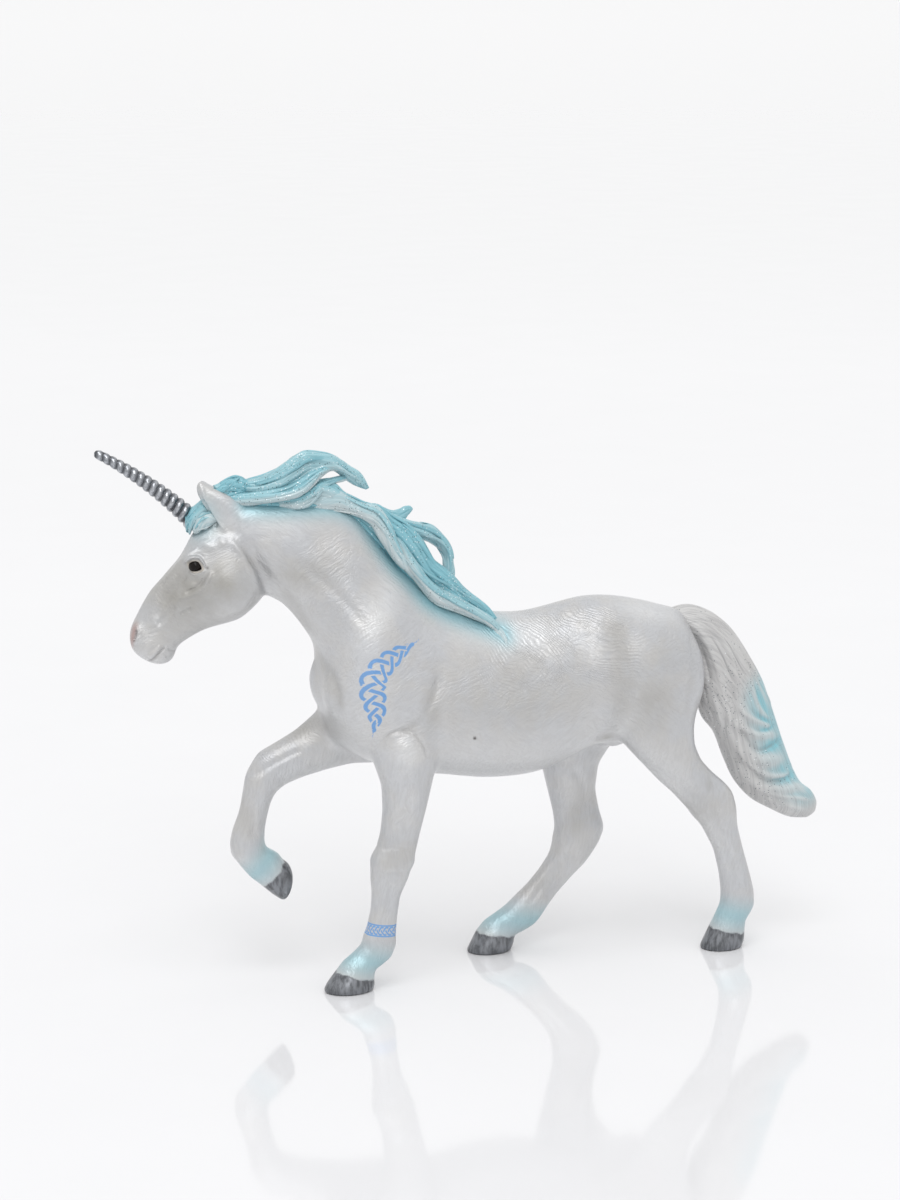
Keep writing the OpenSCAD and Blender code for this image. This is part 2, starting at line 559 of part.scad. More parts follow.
module ear(side) {
    rows = smooth(sized(ear_shares, ear_w, ear_l, 1, ear_t), lock_steps);
    translate([ear_foot_shares[0] * head_l, side * ear_foot_shares[2] * head_w, ear_foot_shares[1] * head_l])
        rotate([0, -ear_slant, 0]) difference() {
            loft(rows, lock_n);
            translate([ear_hollow_shares[0] * ear_w, side * -ear_hollow_shares[2] * ear_t,
                       ear_hollow_shares[1] * ear_l])
                scale([ear_hollow_shares[3] * ear_w, ear_hollow_shares[4] * ear_t, ear_hollow_shares[5] * ear_l])
                    sphere(r = 1, $fn = lock_n);
        }
}

// Slit between the lips
module mouth() {
    run = [mouth_shares[2] - mouth_shares[0], mouth_shares[3] - mouth_shares[1]] * head_l;
    translate([mouth_shares[0] * head_l, 0, mouth_shares[1] * head_l]) rotate([0, -atan2(run[1], run[0]), 0])
        translate([0, -head_w / 2, 0]) cube([norm(run), head_w, mouth_gap_share * head_l]);
}

// Middle of the horn's axis at a share of its length, in the head's frame
function horn_point(s) = [
    horn_foot_shares[0] * head_l - s * horn_l * cos(horn_rise - horn_bend * s / 2),
    horn_foot_shares[1] * head_l + s * horn_l * sin(horn_rise - horn_bend * s / 2)];

// Radius of the horn at a share of its length, rounded off at the tip
function horn_radius(s) =
    let (left = (1 - s) * horn_l, r = (horn_d + (horn_tip_d - horn_d) * s) / 2)
        r * (left < r ? sqrt(max(1 - pow(1 - left / r, 2), 0.04)) : 1);

function horn_row(s, gap) =
    let (c = horn_point(s), a = horn_rise - horn_bend * s, r = horn_radius(s) + gap)
        [c[0] + r * sin(a), c[1] + r * cos(a), c[0] - r * sin(a), c[1] - r * cos(a), 0, r, 0];

module horn_body(gap = 0) {
    rings = horn_turns * turn_rings;
    loft([for (i = [0 : rings]) horn_row(i / rings, gap)], horn_n, 1,
         gap > 0 ? 0 : 2 * horn_groove / horn_d, 360 * horn_turns);
}

module horn_peg(gap = 0) {
    foot = horn_point(0);
    translate([foot[0], 0, foot[1]]) rotate([0, 90 + horn_rise, 0]) translate([0, 0, -overrun])
        cylinder(d = hair_peg_d + 2 * gap, h = hair_peg_l + overrun + gap, $fn = peg_n);
}

module torso() color("ghostwhite") difference() {
    moulded() difference() {
        union() {
            trunk_skin();
            limb(left_fore_shares);
            limb(right_fore_shares);
            limb(left_hind_shares);
            limb(right_hind_shares);
            for (side = [-1, 1]) {
                swelling(breast_shares, side, breast_h);
                swelling(buttock_shares, side, buttock_h);
            }
            swelling(fold_shares, 1, fold_h);
        }
        left_fore_seam(glue_gap);
        right_fore_seam(glue_gap);
        left_hind_seam(glue_gap);
        right_hind_seam(glue_gap);
    }
    neck_peg(glue_gap);
    left_fore_peg(glue_gap);
    right_fore_peg(glue_gap);
    left_hind_peg(glue_gap);
    right_hind_peg(glue_gap);
    mane_lower_pegs(glue_gap);
    tail_peg(glue_gap);
}

module head_and_neck() color("ghostwhite") {
    difference() {
        moulded() difference() {
            union() {
                neck_skin();
                head_skin();
            }
            in_head() {
                mouth();
                for (side = [-1, 1]) pad(nostril_shares, side);
            }
        }
        mane_upper_pegs(glue_gap);
        in_head() horn_peg(glue_gap);
    }
    neck_peg();
}

module left_foreleg() color("ghostwhite") {
    moulded() intersection() {
        union() {
            trunk_skin();
            limb(left_fore_shares);
        }
        left_fore_seam();
    }
    left_fore_peg();
}

module right_foreleg() color("ghostwhite") {
    moulded() intersection() {
        union() {
            trunk_skin();
            limb(right_fore_shares);
        }
        right_fore_seam();
    }
    right_fore_peg();
}

module left_hindleg() color("ghostwhite") {
    moulded() intersection() {
        union() {
            trunk_skin();
            limb(left_hind_shares);
        }
        left_hind_seam();
    }
    left_hind_peg();
}

module right_hindleg() color("ghostwhite") {
    moulded() intersection() {
        union() {
            trunk_skin();
            limb(right_hind_shares);
        }
        right_hind_seam();
    }
    right_hind_peg();
}

module mane_upper() color("skyblue") {
    moulded() difference() {
        union() {
            lock(on_plan(crest_lock_shares, plan_w, mane_t));
            lock(on_plan(middle_lock_shares, plan_w, mane_t));
        }
        neck_skin(glue_gap);
        head_skin(glue_gap);
    }
    mane_upper_pegs();
}

module mane_lower() color("skyblue") {
    moulded() difference() {
        union() {
            lock(on_plan(wither_lock_shares, plan_w, mane_t));
            lock(on_plan(curl_lock_shares, plan_w, mane_t));
            lock(on_plan(spike_lock_shares, plan_w, mane_t));
        }
        neck_skin(glue_gap);
        trunk_skin(glue_gap);
        lock(grown(on_plan(middle_lock_shares, plan_w, mane_t), glue_gap));
    }
    mane_lower_pegs();
}

module forelock() color("skyblue") in_head() moulded() difference() {
    union() {
        lock(sized(tuft_lock_shares, head_l, head_l, head_w, mane_t));
        lock(sized(side_lock_shares, head_l, head_l, head_w, mane_t));
    }
    skull(glue_gap);
    for (side = [-1, 1]) ear(side);
    horn_body(glue_gap);
}

module tail() color("silver") {
    moulded() difference() {
        loft(smooth(on_plan(tail_shares, plan_w, tail_w), lock_steps), tail_n, tail_flutes,
             2 * groove_share, tail_twist);
        trunk_skin(glue_gap);
    }
    tail_peg();
}

module horn() color("dimgray") in_head() {
    moulded() horn_body();
    horn_peg();
}

torso();
head_and_neck();
left_foreleg();
right_foreleg();
left_hindleg();
right_hindleg();
mane_upper();
mane_lower();
forelock();
tail();
horn();
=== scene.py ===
import json
import math

import bpy
import numpy as np
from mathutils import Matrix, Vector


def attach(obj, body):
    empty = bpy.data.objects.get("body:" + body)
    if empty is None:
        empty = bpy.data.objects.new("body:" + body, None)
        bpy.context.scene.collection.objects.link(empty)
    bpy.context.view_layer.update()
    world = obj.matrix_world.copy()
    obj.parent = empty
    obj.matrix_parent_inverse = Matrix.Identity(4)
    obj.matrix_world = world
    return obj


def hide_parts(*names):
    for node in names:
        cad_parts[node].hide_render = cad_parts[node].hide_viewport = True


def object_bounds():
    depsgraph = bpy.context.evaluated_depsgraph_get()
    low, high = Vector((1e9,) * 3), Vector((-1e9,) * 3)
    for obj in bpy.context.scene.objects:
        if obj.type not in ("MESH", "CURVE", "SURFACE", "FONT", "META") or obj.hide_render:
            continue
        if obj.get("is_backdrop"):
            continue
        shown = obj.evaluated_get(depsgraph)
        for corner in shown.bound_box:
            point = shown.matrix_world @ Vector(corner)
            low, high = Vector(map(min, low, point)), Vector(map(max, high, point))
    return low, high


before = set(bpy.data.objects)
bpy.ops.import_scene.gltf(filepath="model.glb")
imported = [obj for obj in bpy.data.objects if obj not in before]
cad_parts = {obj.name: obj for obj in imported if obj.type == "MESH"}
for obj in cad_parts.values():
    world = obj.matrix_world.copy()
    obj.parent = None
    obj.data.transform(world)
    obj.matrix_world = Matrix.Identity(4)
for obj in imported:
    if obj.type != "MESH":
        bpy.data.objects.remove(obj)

import openvdb
from mathutils import Vector

# Every place below is in millimetres on the drawing plan: x toward the tail, y to the right side, z up
CAD_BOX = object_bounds()
MM = 0.001
# Every mesh is kept this far inside the CAD box at the sides and the top
EDGE = 0.00001
BOX_LOW = np.array(CAD_BOX[0]) + [EDGE, EDGE, 0.0]
BOX_HIGH = np.array(CAD_BOX[1]) - EDGE
MIDDLE = np.array([1.6, 0.7, 0.0])

# Rows, strands and locks

def step_up(value, start, end):
    t = np.clip((value - start) / (end - start), 0.0, 1.0)
    return t * t * (3.0 - 2.0 * t)


def smooth_rows(rows, steps):
    """Rows with smooth ones added between them."""
    rows = np.asarray(rows, float)
    result = []
    for i in range(len(rows) - 1):
        a, b = rows[max(i - 1, 0)], rows[i]
        c, d = rows[i + 1], rows[min(i + 2, len(rows) - 1)]
        for k in range(steps):
            t = k / steps
            result.append(b + t / 2 * (c - a + t * (2 * a - 5 * b + 4 * c - d + t * (3 * (b - c) + d - a))))
    result.append(rows[-1])
    return np.array(result)


def valley(phase, power):
    """0 on the crest of a strand and 1 in the cut between two strands."""
    return 1.0 - np.abs(np.sin(math.pi * phase)) ** power


def grid_faces(rings, n):
    """Quads of a tube of rings of n points, and the fans that close it to two more points."""
    index = np.arange(rings * n).reshape(rings, n)
    nxt = np.roll(index, -1, axis=1)
    quads = np.stack([index[:-1], index[1:], nxt[1:], nxt[:-1]], axis=-1).reshape(-1, 4)
    faces = [tuple(q) for q in quads.tolist()]
    faces += [(int(a), int(b), rings * n) for a, b in zip(index[0], nxt[0])]
    faces += [(int(b), int(a), rings * n + 1) for a, b in zip(index[-1], nxt[-1])]
    return faces


def tube(rings, values):
    """Closed tube through rings of points, as points, faces that face out, and values at the points."""
    count, n = rings.shape[:2]
    points = np.concatenate([rings.reshape(-1, 3), rings[[0, -1]].mean(axis=1)])
    faces = grid_faces(count, n)
    a, b, c = (points[[f[i] for f in faces]] for i in range(3))
    volume = np.einsum("ij,ij->i", a - points.mean(axis=0), np.cross(b - a, c - a)).sum()
    if volume < 0:
        faces = [f[::-1] for f in faces]
    values = {key: np.concatenate([value.reshape((-1,) + value.shape[2:]), value[[0, -1], 0]])
              for key, value in values.items()}
    return points - MIDDLE, faces, values


def lock_frame(rows, steps):
    """Middle line of a lock, its half width toward the upper edge, and its half thickness."""
    rows = smooth_rows(rows, steps)
    middle = np.stack([(rows[:, 0] + rows[:, 2]) / 2, rows[:, 4], (rows[:, 1] + rows[:, 3]) / 2], axis=1)
    none = np.zeros(len(rows))
    half = np.stack([(rows[:, 0] - rows[:, 2]) / 2, none, (rows[:, 1] - rows[:, 3]) / 2], axis=1)
    return middle, half, np.stack([none, rows[:, 5], none], axis=1)


def lock(rows, steps=8, n=72, flutes=6, depth=0.16, twist=1.3, seed=0.0, pale=0.0, near=0.0, fine=0.3,
         tone=0.5, strokes=(), settle=2.0, lumps=0.13):
    """A fluted lock through rows of upper edge, lower edge, place across and half thickness.
    Its paint is paler along the lower edge, and on the near side."""
    middle, half, across = lock_frame(rows, steps)
    m = len(middle)
    t = (2 * math.pi * np.arange(n) / n)[None, :]
    s = np.linspace(0.0, 1.0, m)[:, None]
    # Coarse and thin cuts between the strands, wound round the lock and fading toward both ends
    turns = t / (2 * math.pi) + 0.035 * np.sin(2 * t + seed * 3.1)
    sway = 0.3 * np.sin(5.0 * s + seed) + twist * s
    coarse = valley(turns * flutes + sway * flutes / 4 + seed, 0.7)
    thin = valley(turns * flutes * 3 + 1.1 * sway + 0.25 * np.sin(9 * s + seed) + 1.7 * seed, 0.8)
    fade = np.sin(math.pi * np.clip(s * 1.02, 0, 1)) ** 0.35
    uneven = 0.75 + 0.35 * np.sin(3 * t + 4.0 * s + seed * 2.0)
    coarse, thin = (part * (1.0 - 0.85 * step_up(s, settle, settle + 0.15)) for part in (coarse, thin))
    cut = (depth * coarse * uneven + fine * depth * thin) * fade
    out = np.cos(t)[..., None] * half[:, None] + np.sin(t)[..., None] * across[:, None]
    lump = 0.6 * np.sin(13.0 * s + 2 * t + seed) + 0.4 * np.sin(23.0 * s - t + 2.3 * seed)
    points = middle[:, None] + ((1.0 - cut) * (1.0 + lumps * fade * lump))[..., None] * out
    # Ridges along lines seen from the side
    flat = points.reshape(-1, 3)[:, [0, 2]]
    ridge = np.zeros(m * n)
    for line, width, height in strokes:
        stroke(ridge, flat, np.ones(m * n), line, width, height)
    ridge = (ridge.reshape(m, n) * (0.35 + 0.65 * np.abs(np.sin(t))))[..., None]
    points += ridge * out / np.maximum(np.linalg.norm(out, axis=2, keepdims=True), 0.5)
    # Values for the paint: millimetres along and round the lock, cuts that take painted shade, and paler
    # edges
    length = np.concatenate([[0.0], np.cumsum(np.linalg.norm(np.diff(middle, axis=0), axis=1))])[:, None]
    girth = np.abs(np.sin(t / 2)) * 2 * (np.linalg.norm(half, axis=1) + 0.5 * across[:, 1])[:, None]
    flow = np.stack([length + 0 * t, girth, np.sign(np.sin(t)) + seed + 0 * s], axis=-1)
    edge = pale * step_up(-np.cos(t - 0.5), -0.1, 0.95)
    edge = np.maximum(edge, near * step_up(-np.sin(t), 0.0, 0.8)) + 0 * s
    values = {"depth": coarse * 0.6 + thin * 0.4 - 1.2 * ridge[..., 0], "pale": edge, "cyan": 0 * edge,
              "tone": tone + 0 * edge, "flow": flow}
    return tube(points, values)


def wisps(rows, count, seed, width, pale=0.0, tone=0.5):
    """Thin strands laid over a lock, each along its own stretch of it."""
    middle, half, across = lock_frame(rows, steps=6)
    a = 2 * math.pi * np.arange(10) / 10
    s = np.linspace(0.0, 1.0, len(middle))
    parts = []
    for k in range(count):
        start = 0.45 * ((0.37 * k + 0.21 * seed) % 1.0)
        end = 1.0 - 0.35 * ((0.53 * k + 0.17 * seed) % 1.0)
        share = np.clip((s - start) / (end - start), 0.0, 1.0)
        angle = 2 * math.pi * k / count + seed + 0.6 * np.sin(3.0 * s + 1.7 * k + seed) + 0.5 * s
        out = np.cos(angle)[:, None] * half + np.sin(angle)[:, None] * across
        keep = (share > 0.0) & (share < 1.0)
        path, share, out, angle = (middle + 0.95 * out)[keep], share[keep], out[keep], angle[keep]
        if len(path) < 4:
            continue
        along = np.gradient(path, axis=0)
        along /= np.linalg.norm(along, axis=1, keepdims=True)
        out /= np.linalg.norm(out, axis=1, keepdims=True)
        beside = np.cross(along, out)
        radius = width * (0.65 + 0.7 * ((0.29 * k + 0.4 * seed) % 1.0)) * np.sin(math.pi * share) ** 0.6
        ring = np.cos(a)[None, :, None] * out[:, None] * 0.8 + np.sin(a)[None, :, None] * beside[:, None]
        points = path[:, None] + radius[:, None, None] * ring
        length = np.linspace(0.0, 20.0, len(path))[:, None]
        white = pale * step_up(-np.cos(angle - 0.5), 0.25, 0.95)[:, None] + 0 * a
        # Painted shade on the side of each wisp that faces the lock
        values = {"depth": 0.45 - 0.55 * np.cos(a)[None, :] + 0 * length, "pale": white,
                  "cyan": 0 * white, "tone": tone + 0.25 * math.sin(5.0 * k + seed) + 0 * white,
                  "flow": np.stack([length + 0 * a, radius[:, None] * a[None, :], k + 0 * white], axis=-1)}
        parts.append(tube(points, values))
    return parts


def merged(parts):
    """Several locks as one mesh."""
    points, faces, values, start = [], [], {}, 0
    for part_points, part_faces, attributes in parts:
        points.append(part_points)
        faces += [tuple(i + start for i in f) for f in part_faces]
        for key, value in attributes.items():
            values.setdefault(key, []).append(value)
        start += len(part_points)
    return np.concatenate(points), faces, {key: np.concatenate(value) for key, value in values.items()}


# Head's own frame, turned to the left and leaning over: x back toward the neck, y to its right side, z up

HEAD_ORIGIN = np.array([-50.0, 2.5, 98.0])
turn, lean = math.radians(-18.0), math.radians(-8.0)
TURN = np.array([[math.cos(turn), -math.sin(turn), 0], [math.sin(turn), math.cos(turn), 0], [0, 0, 1]])
LEAN = np.array([[1, 0, 0], [0, math.cos(lean), -math.sin(lean)], [0, math.sin(lean), math.cos(lean)]])
HEAD_AXES = TURN @ LEAN


def in_head(points):
    """Part coordinates in millimetres to the head's own frame."""
    return (points + MIDDLE - HEAD_ORIGIN) @ HEAD_AXES


def from_head(points):
    return points @ HEAD_AXES.T + HEAD_ORIGIN - MIDDLE


def head_lock(part):
    """A lock whose rows are in the head's frame, put in place."""
    points, faces, values = part
    return from_head(points + MIDDLE), faces, values


# Distances on a grid, with its step and the greatest distance that is kept

STEP = 0.3
BAND = 3.0
NODE_BAND = 1.2
LOW = np.floor(np.array([-83.0, -17.0, -2.0]) / STEP).astype(int)
HIGH = np.ceil(np.array([83.0, 17.0, 119.0]) / STEP).astype(int)
SHAPE = tuple(HIGH - LOW)
# Places of the grid points on the plan
GX, GY, GZ = (axis.astype(np.float32) for axis in np.ix_(
    *[(LOW[i] + np.arange(SHAPE[i])) * STEP + MIDDLE[i] for i in range(3)]))


def lattice():
    return openvdb.createLinearTransform(voxelSize=STEP)


def node_mesh(name):
    """Points in millimetres and triangles of a CAD node."""
    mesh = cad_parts[name].data
    points = np.empty(len(mesh.vertices) * 3, np.float32)
    mesh.vertices.foreach_get("co", points)
    mesh.calc_loop_triangles()
    faces = np.empty(len(mesh.loop_triangles) * 3, np.int32)
    mesh.loop_triangles.foreach_get("vertices", faces)
    return points.reshape(-1, 3) / MM, faces.reshape(-1, 3).astype(np.uint32)


def distances(points, triangles=None, quads=None, band=BAND):
    """Signed distance from a closed mesh at every grid point, up to the band."""
    grid = openvdb.FloatGrid.createLevelSetFromPolygons(
        points.astype(np.float32), triangles=triangles, quads=quads, transform=lattice(),
        halfWidth=band / STEP)
    field = np.empty(SHAPE, np.float32)
    grid.copyToArray(field, ijk=tuple(int(i) for i in LOW))
    return field


def surface(field, level=0.0):
    """Points in millimetres and quads of the surface at a level."""
    grid = openvdb.FloatGrid(BAND)
    grid.transform = lattice()
    grid.copyFromArray(np.ascontiguousarray(field), ijk=tuple(int(i) for i in LOW))
    return grid.convertToQuads(isovalue=level)


def regrown(field, level):
    """Distances from the surface at a level, shifted back by that level: gaps under 2 * level close."""
    points, quads = surface(field, level)
    return distances(points, quads=quads) + level


def boxed(field, reach, axis):
    """Mean of 2 * reach + 1 neighbours along an axis."""
    pad = [(0, 0)] * 3
    pad[axis] = (reach + 1, reach)
    total = np.cumsum(np.pad(field, pad, mode="edge"), axis=axis, dtype=np.float32)
    width = 2 * reach + 1
    upper, lower = [slice(None)] * 3, [slice(None)] * 3
    upper[axis], lower[axis] = slice(width, None), slice(0, -width)
    return (total[tuple(upper)] - total[tuple(lower)]) / width


def blurred(field, reaches):
    for reach in reaches:
        for axis in range(3):
            field = boxed(field, reach, axis)
    return field


def sample(field, points):
    """Field at points in millimetres, between grid points."""
    at = points / STEP - LOW
    base = np.clip(np.floor(at).astype(int), 0, np.array(SHAPE) - 2)
    f = (at - base).astype(np.float32)
    result = np.zeros(len(points), np.float32)
    for corner in np.ndindex(2, 2, 2):
        share = np.where(corner, f, 1 - f)
        result += share[:, 0] * share[:, 1] * share[:, 2] * field[tuple((base + corner).T)]
    return result


def slopes(field, points):
    """Unit direction in which the field grows fastest."""
    reach = 0.5 * STEP
    grad = np.stack([sample(field, points + reach * axis) - sample(field, points - reach * axis)
                     for axis in np.eye(3)], axis=1)
    return grad / np.maximum(np.linalg.norm(grad, axis=1, keepdims=True), 1e-6)


# Skin of the body

BODY = ["torso", "head_and_neck", "left_foreleg", "right_foreleg", "left_hindleg", "right_hindleg"]
# Middles of the four hooves, where edges stay crisp
HOOVES = {"left_foreleg": (-31.0, -8.0, 3.0), "right_foreleg": (-42.5, 8.5, 21.0),
          "left_hindleg": (57.0, -8.0, 2.5), "right_hindleg": (7.0, 8.0, 2.5)}

# Skin ahead of the first x and above the first z belongs to the head and neck, and skin ahead of the
# second x and above the second z is made finer
POLL_CORNER, FINE_CORNER = (-30.0, 95.0), (-45.0, 66.0)

# Ears in the head's frame: front edge, back edge, place to the side and half thickness
EAR = [[-4.4, -0.4, 4, 0.8, 1.6, 1.6], [-5.4, 1.4, 3, 3.4, 2.3, 2], [-6.5, 3.4, 1.6, 5.3, 2.9, 2],
    [-7.7, 5.4, -0.9, 7.2, 3.4, 1.8], [-8.9, 7.3, -3.2, 8.8, 3.8, 1.5], [-9.8, 9, -5.9, 10, 4.1, 1.05],
    [-10.1, 10.5, -8, 11.1, 4.25, 0.7], [-9.7, 11.8, -9, 11.9, 4.3, 0.3]]
# Upper edge of the neck under the mane, and the root of the tail, on the plan
NECK_TOP = [[-53, 104.8, -52, 99, 1, 2.6], [-48, 105.3, -47, 97, 0.6, 3.2], [-42, 105.2, -41, 96, 0.2, 3.6],
    [-36, 104.9, -37, 95, 0, 3.8], [-31, 104.3, -33, 94, 0, 3.8], [-27.5, 102.8, -30, 92, 0, 3.8],
    [-24.3, 99.5, -27.5, 90, 0, 3.8], [-21.3, 95.1, -24.5, 87, 0, 3.6], [-17.8, 90.7, -21, 84, -0.2, 3.2],
    [-14, 86, -17, 80, -0.4, 2.8]]
DOCK = [[36, 79.4, 38, 68, 0, 5.5], [40, 78.6, 41, 66, 0, 5.6], [44, 77.5, 44, 66, 0, 5],
    [47.5, 76.6, 46.5, 67, 0, 4], [50, 75.2, 48.5, 69, 0, 2.6]]


def solid(part):
    """Distances from a closed lock."""
    points, faces, _ = part
    triangles = [f[:3] for f in faces] + [(f[0], f[2], f[3]) for f in faces if len(f) == 4]
    return distances(points, np.array(triangles, np.uint32))


# Gaps under twice the first are closed, hollows are filleted, and the skin grows a little
GAP_CLOSING, FILLET, GROWTH = 0.4, 1.8, 0.07
SMOOTH = {"flutes": 0, "depth": 0.0, "lumps": 0.0}


def skin_distances():
    """Distances from one skin over all the body's nodes, with ears, neck and dock added."""
    joined = node_field["torso"]
    for name in BODY[1:]:
        joined = np.minimum(joined, node_field[name])
    joined = regrown(joined, GAP_CLOSING)
    ears = [[row[:4] + [side * row[4], row[5]] for row in EAR] for side in (-1, 1)]
    extras = [head_lock(lock(ear, **SMOOTH)) for ear in ears]
    extras += [lock(rows, **SMOOTH) for rows in (NECK_TOP, DOCK)]
    for part in extras:
        joined = np.minimum(joined, solid(part))
    # Fillets soften where the legs leave the trunk and where the head meets the neck, but not the hooves
    before_poll = 1.0 - step_up(GX, -50.0, -46.0)
    legs = 0.85 * step_up(GX, -44.0, -34.0) * step_up(GZ, 8.0, 22.0)
    poll = 0.7 * before_poll * step_up(GZ, 95.0, 98.0) * (1.0 - step_up(GZ, 101.5, 104.5))
    fillet_share = np.maximum(legs, poll)
    joined += (regrown(joined, FILLET) - joined) * fillet_share
    # Edges stay crisp on the hooves and the upper head, and the trunk is the softest
    crisp = before_poll * step_up(GZ, 98.0, 103.0) + np.zeros(SHAPE, np.float32)
    for x, y, z in HOOVES.values():
        away = (GX - x) ** 2 + (GY - y) ** 2 + (GZ - z) ** 2
        crisp = np.maximum(crisp, 1.0 - step_up(away, 30.0, 75.0))
    field = blurred(joined, (1, 1))
    mild = blurred(joined, (2, 2, 2))
    wide = blurred(mild, (4, 3, 3))
    field += (mild - field) * (1.0 - crisp)
    field += (wide - field) * (step_up(GX, -48.0, -30.0) * step_up(GZ, 42.0, 58.0))
    return np.maximum(field - GROWTH, -GZ)


node_field = {name: distances(*node_mesh(name), band=NODE_BAND) for name in BODY}
skin_field = skin_distances()


def sides(quads):
    """Every side of every quad, as the lower and the higher number of its points."""
    after = np.roll(quads, -1, axis=1)
    return np.minimum(quads, after).ravel(), np.maximum(quads, after).ravel()


skin_points, skin_quads = surface(skin_field)
skin_points, skin_quads = skin_points.astype(np.float64), skin_quads.astype(int)
for _ in range(2):
    skin_points -= slopes(skin_field, skin_points) * sample(skin_field, skin_points)[:, None]


def ahead(places, corner):
    """Which places are ahead of a corner and above it."""
    return (places[:, 0] + MIDDLE[0] < corner[0]) & (places[:, 2] > corner[1])


# The node that each quad belongs to is the one whose solid is nearest
middles = skin_points[skin_quads].mean(axis=1)
owner = np.argmin(np.stack([sample(node_field[name], middles) for name in BODY]), axis=0)
owner[ahead(middles, POLL_CORNER)] = BODY.index("head_and_neck")
for _ in range(6):
    votes = np.zeros((len(skin_points), len(BODY)), np.float32)
    for corner in range(4):
        np.add.at(votes, (skin_quads[:, corner], owner), 1.0)
    owner = votes[skin_quads].sum(axis=1).argmax(axis=1)


def refined(points, quads, owners, chosen, field):
    """The chosen quads as four each, and their neighbours with the extra points on the shared sides.
    Returns points, corners in one row, the number of corners of each face and its owner."""
    low, high = sides(quads)
    keys = (low * len(points) + high).reshape(quads.shape)
    edges = np.unique(keys[chosen])
    ends = np.stack([edges // len(points), edges % len(points)], axis=1)
    split = quads[chosen]
    new = np.concatenate([points[ends].mean(axis=1), points[split].mean(axis=1)])
    new -= slopes(field, new) * sample(field, new)[:, None]
    edge = len(points) + np.searchsorted(edges, keys[chosen])
    centre = len(points) + len(edges) + np.arange(len(split))
    small = np.stack([np.stack([split[:, i], edge[:, i], centre, edge[:, i - 1]], axis=1)
                      for i in range(4)], axis=1).reshape(-1, 4)
    place = np.clip(np.searchsorted(edges, keys), 0, len(edges) - 1)
    touched = (edges[place] == keys) & ~chosen[:, None]
    plain = ~chosen & ~touched.any(axis=1)
    corners = [small.ravel(), quads[plain].ravel()]
    sizes = [np.full(len(small), 4), np.full(plain.sum(), 4)]
    owned = [np.repeat(owners[chosen], 4), owners[plain]]
    for f in np.flatnonzero(touched.any(axis=1)):
        face = []
        for i in range(4):
            face.append(quads[f, i])
            if touched[f, i]:
                face.append(len(points) + place[f, i])
        corners.append(np.array(face))
        sizes.append(np.array([len(face)]))
        owned.append(owners[f:f + 1])
    return (np.concatenate([points, new]), np.concatenate(corners).astype(np.int32),
            np.concatenate(sizes).astype(np.int32), np.concatenate(owned))


# Camera

scene = bpy.context.scene
AZIMUTH, ELEVATION, DISTANCE = math.radians(-20.0), math.radians(14.0), 0.72
TARGET = Vector((-0.0059, -0.0007, 0.0521))


def camera():
    data = bpy.data.cameras.new("camera")
    data.lens = 100.0
    data.sensor_width = 36.0
    data.shift_x = -0.005
    data.shift_y = 0.1125
    data.clip_end = 60.0
    view = bpy.data.objects.new("camera", data)
    scene.collection.objects.link(view)
    back = Vector((math.sin(AZIMUTH) * math.cos(ELEVATION), -math.cos(AZIMUTH) * math.cos(ELEVATION),
                   math.sin(ELEVATION)))
    view.location = TARGET + back * DISTANCE
    view.rotation_euler = back.to_track_quat("Z", "Y").to_euler()
    scene.camera = view


# Shader helpers

class Num:
    """A shader value that builds Math nodes with ordinary operators."""

    def __init__(self, tree, socket):
        self.tree, self.socket = tree, socket

    def op(self, kind, *others):
        node = self.tree.nodes.new("ShaderNodeMath")
        node.operation = kind
        for slot, value in zip(node.inputs, (self,) + others):
            if isinstance(value, Num):
                self.tree.links.new(value.socket, slot)
            else:
                slot.default_value = value
        return Num(self.tree, node.outputs[0])

    def rest(self):
        """What is missing to 1."""
        return self * -1.0 + 1.0

    def rise(self, start, end, low=0.0, high=1.0):
        """Smooth step from low to high between start and end."""
        node = self.tree.nodes.new("ShaderNodeMapRange")
        node.interpolation_type = "SMOOTHSTEP"
        self.tree.links.new(self.socket, node.inputs[0])
        for slot, value in zip(node.inputs[1:5], (start, end, low, high)):
            slot.default_value = value
        return Num(self.tree, node.outputs[0])


for method, kind in {"__add__": "ADD", "__sub__": "SUBTRACT", "__mul__": "MULTIPLY",
                     "__truediv__": "DIVIDE", "sin": "SINE", "abs": "ABSOLUTE", "max": "MAXIMUM",
                     "above": "GREATER_THAN"}.items():
    setattr(Num, method, lambda self, *others, kind=kind: self.op(kind, *others))


